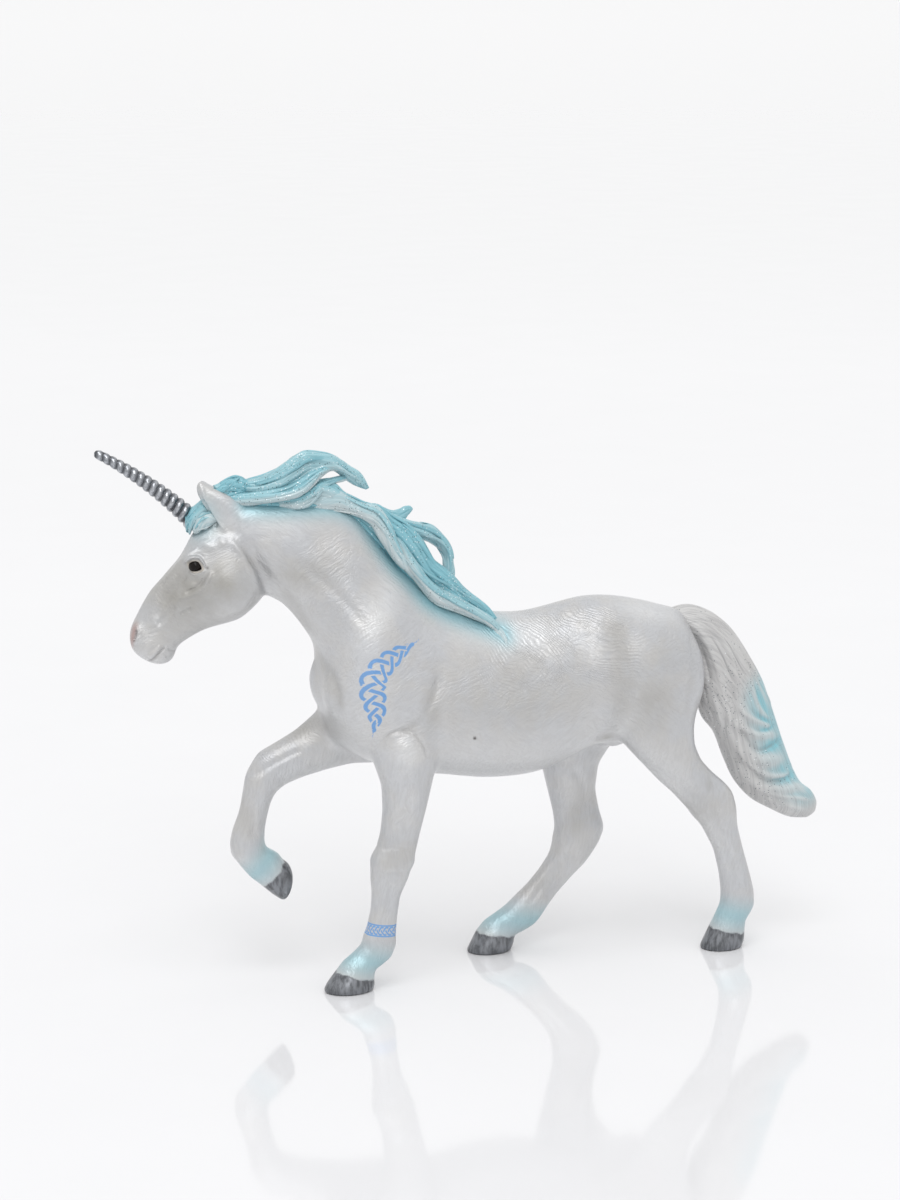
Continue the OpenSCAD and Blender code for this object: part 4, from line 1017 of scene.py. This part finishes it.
def body_masks(points, normals, crease, name):
    """Where the paint changes, at points in millimetres."""
    at = points + MIDDLE
    x, y, z = at.T
    side = at[:, [0, 2]]
    head = in_head(points)
    flat = head[:, [0, 2]]
    is_head = name == "head_and_neck"
    # Hooves with an uneven upper edge, a lighter band on their walls just below it, and the cyan of the
    # pasterns
    hoof, wall, cyan = (np.zeros(len(points)) for _ in range(3))
    for node in HOOVES:
        height, near = hoof_height(at, node)
        ragged = 0.12 * np.sin(1.7 * x + 2.3 * y) + 0.08 * np.sin(4.1 * y + 1.0)
        hoof = np.maximum(hoof, near * (1.0 - step_up(height + ragged, -0.14, 0.14)))
        wall = np.maximum(wall, near * np.exp(-((height + 2.1) / 1.5) ** 2))
        pastern = (1.0 - step_up(height, 3.0, 9.5)) * step_up(height, -2.0, 4.5)
        cyan = np.maximum(cyan, 0.66 * near * pastern)
    # Cyan along the edge of the mane and round the forelock
    far = along_line(side, HAIR_LINE)[0]
    far_side = step_up(y, 0.0, 3.0) * step_up(x, -13.0, -6.0)
    cyan = np.maximum(cyan, 0.8 * np.exp(-(far / 2.5) ** 2) * (z > 70) * (1.0 - far_side))
    poll = np.hypot(head[:, 0] + 10.0, head[:, 2] - 4.0)
    cyan = np.maximum(cyan, 0.75 * np.exp(-(poll / 3.6) ** 2) * is_head)
    # Painted shade: darker along the grooves and in the warm grey spots
    shade = np.maximum(np.minimum(crease, 0.6), spots(SHADES, side))
    dark, pink, cream = (np.zeros(len(points)) for _ in range(3))
    if is_head:
        shade = np.maximum(shade, spots(HEAD_SHADES, flat))
        # Cream rim and dark line of the eye, and its dark corner
        eye = eye_share(flat)
        cream = 0.7 * np.exp(-((eye - 1.3) / 0.2) ** 2)
        dark = np.exp(-((eye - 1.0) / 0.13) ** 2)
        dark = np.maximum(dark, 0.6 * np.exp(-(np.hypot(head[:, 0] + 7.9, head[:, 2] + 6.05) / 0.3) ** 2))
        # Mouth, nostrils on both sides and the pink nose round them
        out = np.abs(head[:, 1])
        dark = np.maximum(dark, 0.3 * np.exp(-(along_line(flat, MOUTH)[0] / 0.16) ** 2))
        slit = np.exp(-(along_line(flat, NOSTRIL)[0] / 0.3) ** 2)
        dark = np.maximum(dark, 0.75 * slit * step_up(out, 1.9, 3.1))
        nose = step_up(0.25 * (flat[:, 1] + 20.0) - flat[:, 0], 22.6, 23.8)
        nose *= step_up(-flat[:, 1], 16.5, 19.0)
        pink = nose * (0.315 + 0.585 * step_up(out, 0.6, 2.4))
    # Plaited motif on the shoulder and plaited band round the left fetlock
    knot, band = np.zeros((len(points), 3)), np.zeros((len(points), 3))
    if not is_head:
        _, signed, share, passed = along_line(side, KNOT_LINE)
        half = np.interp(share, np.linspace(0, 1, len(KNOT_HALF)), KNOT_HALF)
        near = (y < -4.0) & (np.abs(signed) < half + 1.5)
        knot = np.stack([passed, signed, np.where(near, half, 0.0)], axis=1)
    if name == "left_foreleg":
        up = z - 13.3 + 0.12 * (x + 26.0)
        turn = np.arctan2(y + 8.1, x + 25.3) * 3.3
        band = np.stack([turn, up, np.where(np.abs(up) < 3.0, 1.0, 0.0)], axis=1)
    # Small round hole low on the left flank
    dark = np.maximum(dark, np.exp(-(np.hypot(x + 4.7, z - 54.4) / 0.36) ** 4) * (y < 0))
    # Waves of hair on the flanks and on the raised forearm, and faintly elsewhere
    ripple = np.exp(-((x - 15.0) / 17.0) ** 4 - ((z - 72.0) / 9.0) ** 4)
    ripple += 0.6 * np.exp(-((x + 43.0) / 7.0) ** 4 - ((z - 53.5) / 5.5) ** 4) * (y > 0)
    ripple = np.maximum(ripple, 0.12 * step_up(z, 55.0, 65.0) * (not is_head))
    # Painted bounce light from the floor: the paint is lighter where the skin faces down, above the hooves
    under = step_up(-normals[:, 2], -0.25, 0.7) * step_up(z, 4.0, 12.0)
    # The painted highlight patches are handed to the paint beside the other masks
    return {"under": under, "painted_highlight": spots(PAINTED_HIGHLIGHTS, side), "hoof": hoof, "wall": wall,
            "leg": 1.0 - step_up(z, 46.0, 56.0), "cyan": cyan, "shade": shade, "dark": dark, "pink": pink,
            "cream": cream, "knot": knot, "band": band, "ripple": ripple}


def eyeballs(head):
    """Both eyeballs inside the cheeks, found from skin points in the head's frame: points, corners,
    numbers of corners and normals at the corners."""
    for side in (-1, 1):
        near = np.hypot(head[:, 0] - EYE[0], head[:, 2] - EYE[1]) < 2.2
        near &= head[:, 1] * side > 1.0
        level = np.percentile(np.abs(head[near, 1]), 85)
        points, faces = ball(np.array([EYE[0], side * (level - EYE_INSET), EYE[1]]), EYEBALL)
        points, corners = from_head(points), np.concatenate(faces)
        outer = points - points.mean(axis=0)
        outer /= np.linalg.norm(outer, axis=1, keepdims=True)
        yield points, corners, np.array([len(f) for f in faces]), outer[corners]


def build_body(skin, eye):
    fine = ahead(middles, FINE_CORNER)
    points, corners, sizes, owners = refined(skin_points, skin_quads, owner, fine, skin_field)
    points, crease = sculpted(points, slopes(skin_field, points))
    whole = raw_mesh("whole_skin", points, corners, sizes)
    normals = np.empty(len(points) * 3, np.float32)
    whole.vertex_normals.foreach_get("vector", normals)
    normals = normals.reshape(-1, 3)
    bpy.data.meshes.remove(whole)
    for index, name in enumerate(BODY):
        own = owners == index
        used, own_corners = np.unique(corners[np.repeat(own, sizes)], return_inverse=True)
        own_points, own_normals = points[used], normals[used]
        masks = body_masks(own_points, own_normals, crease[used], name)
        # Parts of the piece: points, corners, numbers of corners, normals at the corners, paint
        parts = [(own_points, own_corners, sizes[own], own_normals[own_corners], 0)]
        count = len(own_points)
        for loop in rims(own_corners, sizes[own]):
            ring = own_points[loop]
            middle = ring.mean(axis=0) - CAP_DEPTH * own_normals[loop].mean(axis=0)
            after = np.roll(loop, -1)
            flat = np.cross(own_points[after] - ring, middle - ring)
            flat /= np.maximum(np.linalg.norm(flat, axis=1, keepdims=True), 1e-9)
            fan = np.stack([loop, after, np.full(len(loop), count)], axis=1)
            parts.append((middle[None], fan.ravel(), np.full(len(fan), 3), np.repeat(flat, 3, axis=0), 0))
            count += 1
        if name == "head_and_neck":
            for eyeball, eye_corners, eye_sizes, outer in eyeballs(in_head(own_points)):
                parts.append((eyeball, eye_corners + count, eye_sizes, outer, 1))
                count += len(eyeball)
        extra = count - len(own_points)
        masks = {key: np.concatenate([value, np.zeros((extra,) + value.shape[1:])])
                 for key, value in masks.items()}
        *joined_parts, paints = zip(*parts)
        counts = [len(part) for part in joined_parts[2]]
        all_points, all_corners, all_sizes, corner_normals = (np.concatenate(part) for part in joined_parts)
        mesh = raw_mesh(name + "_skin", all_points, all_corners, all_sizes)
        mesh.polygons.foreach_set("material_index", np.repeat(paints, counts).astype(np.int32))
        thing = dressed(name + "_skin", mesh, [skin, eye][:max(paints) + 1], masks, corner_normals)
        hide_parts(name)


# Hair
# A row of a lock is the x and z of its upper edge, the x and z of its lower edge, the place across of
# its middle, and its half thickness

CREST = [[-55.3, 107.5, -53.3, 104.9, 4.8, 1.1], [-52.9, 108.8, -50.4, 102.8, 4.2, 2],
    [-49.6, 110, -47.6, 102.5, 3.8, 2.4], [-45.8, 110.9, -44.3, 103, 3.2, 2.6],
    [-42.1, 112.5, -40.5, 104, 2.8, 2.6], [-38.8, 114.5, -37.3, 106.5, 2.4, 2.4],
    [-35, 114.8, -34.7, 109.5, 2, 2.1], [-31.5, 114, -31.6, 111.6, 1.2, 1.6],
    [-28.4, 112.3, -29.2, 110.6, 0.8, 1.2]]
CREST_TOP = [[-56.8, 109.2, -55, 106.5, 3.2, 1.2], [-53, 110.4, -51.5, 107.2, 2.6, 1.8],
    [-49, 110.3, -47.5, 106.8, 1.8, 2.2], [-45, 111.7, -43.5, 107.8, 1, 2.4],
    [-41, 114, -39.8, 109.6, 0.4, 2.5], [-38, 115.8, -37, 111, 0, 2.4],
    [-34, 115.4, -33.6, 111.8, -0.3, 2.1], [-31, 114.4, -31.4, 111.5, -0.4, 1.9],
    [-28, 112.4, -29, 109.5, -0.4, 1.7], [-25.6, 110.5, -27, 108, -0.3, 1.2],
    [-23.8, 107.4, -24.6, 107, -0.3, 0.25]]
CREST_LOW = [[-54, 107.4, -53.5, 104.9, 1.4, 1], [-50, 107.9, -49.5, 105.1, -0.2, 1.6],
    [-46, 108.5, -45.5, 105.6, -1.4, 2], [-42, 109.4, -42, 106.1, -2, 2.2],
    [-39.2, 110.6, -39.4, 106.9, -2.2, 2.1], [-36.7, 112.1, -37.2, 108.5, -1.9, 1.8],
    [-34.2, 112.9, -35.1, 110.4, -1.5, 1.5], [-31.6, 112.8, -32.9, 111.4, -1, 1],
    [-29.5, 111.8, -30.6, 111.3, -0.6, 0.4]]
MIDDLE_LOCK = [[-51, 105.6, -51.2, 104.9, 0.8, 0.5], [-48, 106.2, -48.3, 104.7, 0.4, 0.9],
    [-45, 106.4, -45.6, 104.6, 0, 1.2], [-42.3, 106.4, -43, 104.4, -0.5, 1.5],
    [-39.6, 107, -40.4, 103.9, -1.1, 2], [-37.4, 108.5, -38, 104, -1.3, 2.2],
    [-35.8, 109.5, -36.2, 105.3, -1.2, 2], [-34.4, 109.9, -34.4, 107, -0.9, 1.6],
    [-32, 110.1, -32.2, 108.6, -0.7, 1.2], [-29.8, 110.4, -29.8, 109, -0.5, 0.9],
    [-27.8, 110.2, -28, 109.4, -0.3, 0.4]]
POLL_TUFT = [[-58, 107.8, -57, 105.6, 3, 0.8], [-55.6, 109.6, -54.8, 106.2, 2.6, 1.5],
    [-53.2, 110.8, -52.8, 106.8, 2.2, 1.8], [-51.6, 111.1, -50.8, 107.2, 1.8, 1.7],
    [-49.8, 110.2, -49, 107.6, 1.2, 1]]
WITHERS = [[-28.6, 106, -28.4, 102, 0, 1.5], [-25.8, 104.4, -25.4, 100, 0, 2.4],
    [-22.1, 103, -22.7, 95.6, -0.2, 3], [-18.2, 100, -20, 92, -0.6, 3.3], [-14.4, 96.4, -17.2, 89, -1, 3.4],
    [-11.6, 91.4, -14.4, 85.9, -1.5, 3.4], [-8, 88, -11.3, 83.2, -2.1, 3.2],
    [-4, 84.8, -7.2, 81.4, -2.8, 2.9], [0, 81.5, -2.6, 79.2, -3.6, 2.5], [2.8, 79, 1, 77.6, -4.6, 1.6]]
NEAR_BAND = [[-38.6, 106.2, -39, 104.4, -0.6, 0.6], [-35.2, 107, -35.6, 103.4, -0.9, 1.3],
    [-31.4, 107.8, -31.5, 102.8, -1.3, 1.7], [-28.9, 106.6, -29, 102.2, -1.8, 1.8],
    [-26, 105, -26.5, 101.4, -2.4, 1.9], [-23, 103.8, -24.6, 99.9, -3, 2],
    [-20.8, 101.4, -23.2, 97.6, -3.5, 1.9], [-19.5, 98.4, -22, 95.3, -3.9, 1.8],
    [-18.3, 95.4, -20.4, 92.8, -4.2, 1.6], [-16.5, 92.5, -18, 90.4, -4.4, 1.2],
    [-14.6, 90.2, -15.6, 88.8, -4.5, 0.4]]
SECOND_BAND = [[-20, 99, -20.9, 97, -2.6, 0.9], [-17.4, 96.6, -18.9, 93.6, -3.4, 1.7],
    [-15.8, 93.6, -17.5, 90.3, -3.9, 2.1], [-14.2, 91, -15.5, 87.6, -4.2, 2.3],
    [-12, 88.5, -13.4, 84.9, -4.4, 2.3], [-9.4, 86.3, -11, 82.6, -4.6, 2.2], [-6.4, 84.3, -8, 81, -4.9, 2],
    [-3.5, 82.6, -5, 79.8, -5.2, 1.8], [-0.6, 80.8, -2.2, 78.4, -5.6, 1.5], [2, 78.7, 0.7, 76.9, -6.1, 1.1],
    [3.7, 76, 3, 75.1, -6.8, 0.4]]
INNER_LOCK = [[-24.4, 104.2, -24.8, 102, -1, 1], [-22, 103.9, -22.8, 100, -1.3, 1.8],
    [-19.5, 102, -20.8, 97.4, -1.7, 2.3], [-16.5, 100.2, -18.6, 94.8, -2.1, 2.7],
    [-14, 97.6, -16.8, 92.2, -2.5, 2.8], [-11.9, 94.4, -15, 89.8, -2.8, 2.8],
    [-10.6, 92, -13, 87.6, -3, 2.7], [-8.4, 90.2, -10.8, 85.8, -3.2, 2.6],
    [-5.9, 88, -8.2, 84.2, -3.5, 2.4], [-3.6, 85.4, -5.6, 82.8, -3.9, 2.1],
    [-1.2, 83.2, -3, 81.4, -4.3, 1.7], [1.4, 80.8, 0, 79.6, -4.9, 1.1], [3, 78.6, 2.2, 78, -5.4, 0.4]]
CURL = [[-19.5, 102, -18.6, 97.4, -0.4, 1.6], [-15.2, 100.2, -14.6, 96.4, 0, 2],
    [-12, 99.3, -12, 95.4, 0.3, 2.2], [-9.4, 98.3, -10.2, 94.6, 0.5, 2.2],
    [-7.3, 96.5, -8.8, 93.8, 0.5, 2.1], [-5.8, 94.4, -7.9, 92.6, 0.3, 2], [-5, 92, -7.4, 91.3, 0, 1.9],
    [-4.9, 89.6, -7.4, 89.8, -0.4, 1.9], [-5.2, 87.3, -7.8, 88, -1, 1.8], [-6, 85, -8.6, 86.4, -1.8, 1.3]]
SPIKE = [[-22, 103.6, -21, 99.5, 0.2, 1.3], [-18.6, 102.2, -18.2, 99.4, 0.6, 1.4],
    [-16.4, 102.4, -15.8, 99.8, 0.9, 1.1], [-14.6, 102.9, -14.4, 101, 1, 0.7],
    [-13.7, 102.2, -13.9, 101.6, 1, 0.25]]
TUFT = [[-2.6, 7.6, -3, 4.4, 0, 1.8], [-5.6, 8.8, -6.2, 4.4, 0, 2.6], [-8, 8.3, -8.6, 3.4, 0, 3],
    [-10.2, 7.2, -10.8, 2, 0, 3.1], [-11.6, 6.3, -12.2, 1, 0, 2.9], [-12.6, 5, -12.6, 1.6, 0, 2]]
CYAN_SIDE = [[-6.6, 7.6, -6.2, 5.2, -2, 0.9], [-8.9, 7.2, -8, 4.4, -2.4, 1.1],
    [-10.6, 6, -9.4, 3.4, -2.5, 1.1], [-11.6, 4.2, -10.6, 2.4, -2.4, 1], [-12, 2.4, -11.2, 1.4, -2.2, 0.8],
    [-11.9, 0.8, -11.6, 0.6, -2, 0.25]]
SIDE_LOCK = [[-6.4, 5.4, -6, 3.4, -3.6, 0.7], [-8.2, 5.6, -7, 2.7, -3.6, 1],
    [-9.6, 4.7, -8.2, 1.9, -3.5, 1.05], [-10.6, 3.2, -9.5, 1.2, -3.2, 0.9],
    [-11.1, 1.6, -10.6, 0.8, -2.9, 0.35]]
# Lock close to the neck that fills in behind the others
UNDER = [[-51, 105.9, -51, 105, 0.6, 0.6], [-48, 106.6, -47.5, 104.4, 0.5, 1.4],
    [-45, 106.4, -44.5, 104.2, 0.2, 1.7], [-39, 106.2, -38.5, 103.8, 0, 1.8],
    [-33, 105.8, -33.5, 103.4, 0, 1.9], [-28.6, 104.6, -29.8, 102, 0, 2],
    [-25.2, 102.2, -27.2, 99.6, 0, 2.1], [-20.6, 98.2, -23.4, 95.2, -0.2, 2.2],
    [-16.5, 93, -19.2, 90, -0.6, 2.2], [-11, 88, -14, 83.5, -1.2, 2.2]]
# Lock that joins the middle lock to the band on the neck
BRIDGE = [[-38.5, 108.6, -38.9, 106.4, -0.9, 1], [-35.5, 109.6, -36.2, 106.2, -1, 1.6],
    [-32.6, 109.4, -34, 105.6, -1.1, 1.8], [-30.6, 108, -32, 104.8, -1.2, 1.7],
    [-28.6, 106.4, -29.8, 104, -1.4, 1.5], [-26, 104.9, -27, 103.2, -1.5, 0.8]]
# Thin curl at the end of the mane, laid on the skin
END_CURL = [[-1.6, 80, -2.6, 78.2, 0.2, 0.9], [1.4, 78.6, 0.4, 76.8, 0, 0.9],
    [3.4, 76.7, 2.2, 75.5, 0, 0.75], [4.3, 74.7, 3.3, 74.3, 0.1, 0.55], [4.3, 73, 3.7, 72.9, 0.3, 0.25]]
# Ridges of the tail's strands: line, width, height
TAIL_STROKES = [
    ([(48.6, 76.6), (53.8, 72.8), (58, 66.6), (59.6, 61), (60.1, 54.7), (62.8, 51.7), (67.3, 49.2), (71.5,
     47.1)], 0.6, 0.5),
    ([(50.1, 76.8), (56.4, 72.6), (61.4, 65.7), (63.7, 59.2), (65, 54.3), (67.3, 51.3), (70.4, 49.6)],
     0.55, 0.45),
    ([(52.7, 76.6), (59.4, 70.7), (64, 62.7), (66.4, 57.3), (68.7, 53.3), (70.8, 51.4)], 0.5, 0.4),
    ([(47.2, 76), (51.3, 71.3), (54.4, 65.2), (56.7, 58.4), (59.5, 51.2), (64.4, 47.7), (68.9, 46.8),
     (72.6, 46)], 1, 0.75),
    ([(49.1, 70.7), (52.2, 63.6), (55.3, 56.4), (58.8, 49.2), (61.8, 44.4), (65.3, 41.6), (69.8, 41.1),
     (74.8, 41.4)], 1.5, 0.8),
    ([(59.9, 47), (63, 41.5), (66.1, 38.7), (70.6, 37.1), (76.4, 37.2)], 0.7, 0.5),
    ([(58.4, 47.1), (60.8, 42.4), (63.1, 37.6), (66.9, 34.8), (72.2, 33.9), (76, 33.9), (80.6, 31.8)], 1.1,
     0.55), ([(64.7, 35), (70.8, 32.6), (76.1, 31.4), (80.6, 30)], 0.5, 0.35),
    ([(67, 32.6), (72.3, 30.4), (77.3, 28.5), (79.6, 28)], 0.5, 0.35),
    ([(62, 68), (66, 60), (69, 54.5), (71.4, 52.6)], 0.45, 0.35),
    ([(54, 62), (56, 54), (58.5, 47)], 0.4, 0.3),
    ([(61.6, 58), (62.6, 54.5), (65.4, 51.6), (69, 49.6)], 0.4, -0.3),
    ([(62, 50.6), (65.4, 48.1), (70, 48.6)], 0.5, -0.35),
    ([(60.5, 50), (62.3, 46.2), (65.6, 43.6), (69.4, 44.4), (73, 46)], 0.7, -0.55),
    ([(63.5, 40.5), (66.6, 36.6), (71.6, 36.2), (77, 38)], 0.7, -0.5)]
TAIL_CYAN = [(67.5, 55.5), (68.5, 51), (70, 46), (72, 41), (75, 37), (78.5, 34.5)]
TAIL = [[44.5, 76, 45.6, 71.5, 0, 1.8], [47.6, 77, 47.4, 70.8, 0, 2.8], [51.4, 76.9, 49.3, 69, 0, 3.7],
    [56.2, 74.6, 51.4, 65.8, 0, 4.2], [60.5, 70.8, 52.2, 61.4, 0, 4.4], [64.5, 65, 52.4, 56.8, 0, 4.6],
    [68, 59, 53.6, 51.6, 0, 4.7], [70.6, 52.2, 56.8, 47.4, 0, 4.7], [73, 45.5, 59.3, 41.4, 0, 4.6],
    [75.6, 39, 62, 36, 0, 4.3], [78, 34.5, 66, 31.6, 0, 3.9], [80.8, 32.2, 71, 28.6, 0, 3.2],
    [82.3, 29.6, 75.5, 26.4, 0, 2.3], [82.2, 27.6, 79.5, 25.8, 0, 1.1]]


def node_piece(name, parts, material, node):
    """Several locks as the piece of a node."""
    points, faces, values = merged(parts)
    sizes = np.array([len(f) for f in faces], np.int32)
    corners = np.concatenate([np.asarray(f, np.int32) for f in faces])
    thing = dressed(name, raw_mesh(name, points, corners, sizes), [material], values)
    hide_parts(node)


def build_horn(material):
    """A tapering horn with a wound groove, in the head's frame."""
    n, turns, length, root, tip, groove = 40, 16, 26.0, 4.6, 1.9, 0.25
    t = 2 * math.pi * np.arange(n) / n
    rings, depth = [], []
    for s in np.linspace(0.0, 1.0, 241):
        lean = math.radians(45 - 9.5 * s)
        x, z = -10.2 - s * length * math.cos(lean), 2.66 + s * length * math.sin(lean)
        facing = math.radians(45 - 19 * s)
        left = (1 - s) * length
        r = (root + (tip - root) * s) / 2
        if left < r:
            r *= math.sqrt(max(1 - (1 - left / r) ** 2, 0.02))
        cut = valley(turns * s - t / (2 * math.pi), 0.75)
        r = r * (1.0 - groove * cut * min(1.0, 8 * (1 - s)))
        rings.append(np.stack([x + np.cos(t) * r * math.sin(facing), np.sin(t) * r,
                               z + np.cos(t) * r * math.cos(facing)], axis=1))
        depth.append(cut)
    horn = head_lock(tube(np.array(rings), {"depth": np.array(depth)}))
    node_piece("horn_spiral", [horn], material, "horn")


def draped(rows):
    """Rows whose place across is counted from the skin on the left side."""
    result = []
    for row in rows:
        x, z = (row[0] + row[2]) / 2, (row[1] + row[3]) / 2
        line = np.array([[x, -y, z] for y in np.arange(3.0, 14.0, 0.1)]) - MIDDLE
        outside = np.flatnonzero(sample(skin_field, line) > 0)
        result.append(row[:4] + [line[outside[0], 1] + MIDDLE[1] + row[4], row[5]])
    return result


def build_hair(cyan, grey):
    node_piece("mane_upper_locks", [
        lock(CREST, flutes=7, seed=0.3, tone=0.6),
        lock(CREST_TOP, flutes=7, depth=0.18, seed=2.1, pale=0.2, tone=0.3),
        lock(CREST_LOW, flutes=6, depth=0.2, seed=0.8, pale=0.9, tone=0.5),
        lock(UNDER, seed=1.4, tone=1.0),
        lock(BRIDGE, flutes=4, seed=0.7, pale=0.6, tone=0.4),
        lock(MIDDLE_LOCK, flutes=5, seed=1.7, pale=0.8, tone=0.5),
        lock(POLL_TUFT, flutes=6, depth=0.22, seed=3.3, tone=1.0),
        *wisps(CREST_TOP, 11, 0.4, 0.55, pale=0.3, tone=0.35),
        *wisps(CREST_LOW, 9, 1.3, 0.45, pale=0.9, tone=0.45),
        *wisps(CREST, 7, 2.2, 0.5, tone=0.5),
        *wisps(MIDDLE_LOCK, 8, 3.1, 0.42, pale=0.7, tone=0.6),
        *wisps(POLL_TUFT, 9, 0.9, 0.42, tone=0.9)], cyan, "mane_upper")
    node_piece("mane_lower_locks", [
        lock(WITHERS, flutes=8, seed=0.9, tone=0.8),
        lock(NEAR_BAND, flutes=5, depth=0.14, seed=1.2, pale=0.9, near=0.55),
        lock(SECOND_BAND, flutes=6, depth=0.16, seed=0.2, pale=1.0, near=0.3, tone=0.6),
        lock(INNER_LOCK, flutes=8, depth=0.2, seed=2.5, tone=0.8),
        lock(CURL, flutes=5, seed=2.9, pale=0.3, tone=0.4),
        lock(SPIKE, flutes=4, seed=0.1, tone=0.5),
        lock(draped(END_CURL), flutes=3, pale=0.8, near=0.7, tone=0.3),
        *wisps(WITHERS, 11, 0.2, 0.55, tone=0.8),
        *wisps(NEAR_BAND, 7, 1.9, 0.42, pale=0.9, tone=0.3),
        *wisps(SECOND_BAND, 9, 2.7, 0.45, pale=0.8, tone=0.5),
        *wisps(INNER_LOCK, 11, 0.7, 0.5, tone=0.7),
        *wisps(CURL, 7, 1.1, 0.45, pale=0.3, tone=0.4)], cyan, "mane_lower")
    forelock = [lock(TUFT, flutes=7, seed=1.1, tone=0.7),
                lock(CYAN_SIDE, flutes=4, depth=0.12, seed=0.6, pale=0.5),
                lock(SIDE_LOCK, flutes=4, depth=0.2, seed=2.2, pale=0.8, near=0.75),
                *wisps(TUFT, 11, 0.5, 0.4, tone=0.6), *wisps(SIDE_LOCK, 7, 1.5, 0.26, pale=0.9, tone=0.2)]
    node_piece("forelock_locks", [head_lock(part) for part in forelock], cyan, "forelock")
    tail = lock(TAIL, steps=26, n=280, flutes=13, depth=0.06, twist=0.35, seed=0.4, fine=0.5,
                strokes=TAIL_STROKES, settle=0.38, lumps=0.0)
    points, _, values = tail
    far = along_line((points + MIDDLE)[:, [0, 2]], TAIL_CYAN)[0]
    low = step_up(values["depth"], -0.5, 0.2)
    values["cyan"][:] = np.exp(-(far / 4.8) ** 3) * (0.45 + 0.55 * low)
    values["pale"][:] = np.exp(-(far / 6.5) ** 4) * (1.0 - low) * 0.5
    node_piece("tail_strands", [tail], grey, "tail")


# Floor and light

FLOOR, WORLD_LIGHT = 15.0, 0.9
# Suns: name, where the light comes from, spread in degrees and power
SUNS = [('key', (-0.25, -0.4, 1.1), 34, 0.78), ('front', (-0.2, -0.9, 0.75), 24, 0.4)]


def studio():
    floor_mesh = bpy.data.meshes.new("floor")
    floor_mesh.from_pydata([(x * FLOOR, y * FLOOR, 0) for x, y in ((-1, -1), (1, -1), (1, 1), (-1, 1))], [],
                           [(0, 1, 2, 3)])
    floor = bpy.data.objects.new("floor", floor_mesh)
    scene.collection.objects.link(floor)
    p = Paint("pale_floor")
    grain = p.noise(30.0, 2.0)
    p.set(Base_Color=p.mix(grain, (0.80, 0.80, 0.815), (0.82, 0.82, 0.835)), Roughness=grain * 0.02 + 0.06)
    p.set(Specular_IOR_Level=1.0)
    floor_mesh.materials.append(p.material)
    floor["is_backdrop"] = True
    world = bpy.data.worlds.new("studio")
    scene.world = world
    world.use_nodes = True
    sky = world.node_tree.nodes["Background"].inputs
    sky["Color"].default_value = (1.0, 1.0, 1.0, 1.0)
    sky["Strength"].default_value = WORLD_LIGHT
    for name, toward, spread, power in SUNS:
        light = bpy.data.lights.new(name, "SUN")
        light.angle = math.radians(spread)
        light.energy = power
        lamp = bpy.data.objects.new(name, light)
        scene.collection.objects.link(lamp)
        lamp.location = toward
        lamp.rotation_euler = Vector(toward).to_track_quat("Z", "Y").to_euler()
    scene.view_settings.view_transform = "Standard"


build_body(body_paint(), eye_paint())
build_hair(strand_paint(*CYAN_HAIR), strand_paint(*PEARL_TAIL))
build_horn(horn_paint())
camera()
studio()
for box in (CAD_BOX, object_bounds()):
    json.dumps([list(corner) for corner in box]) + "\n"
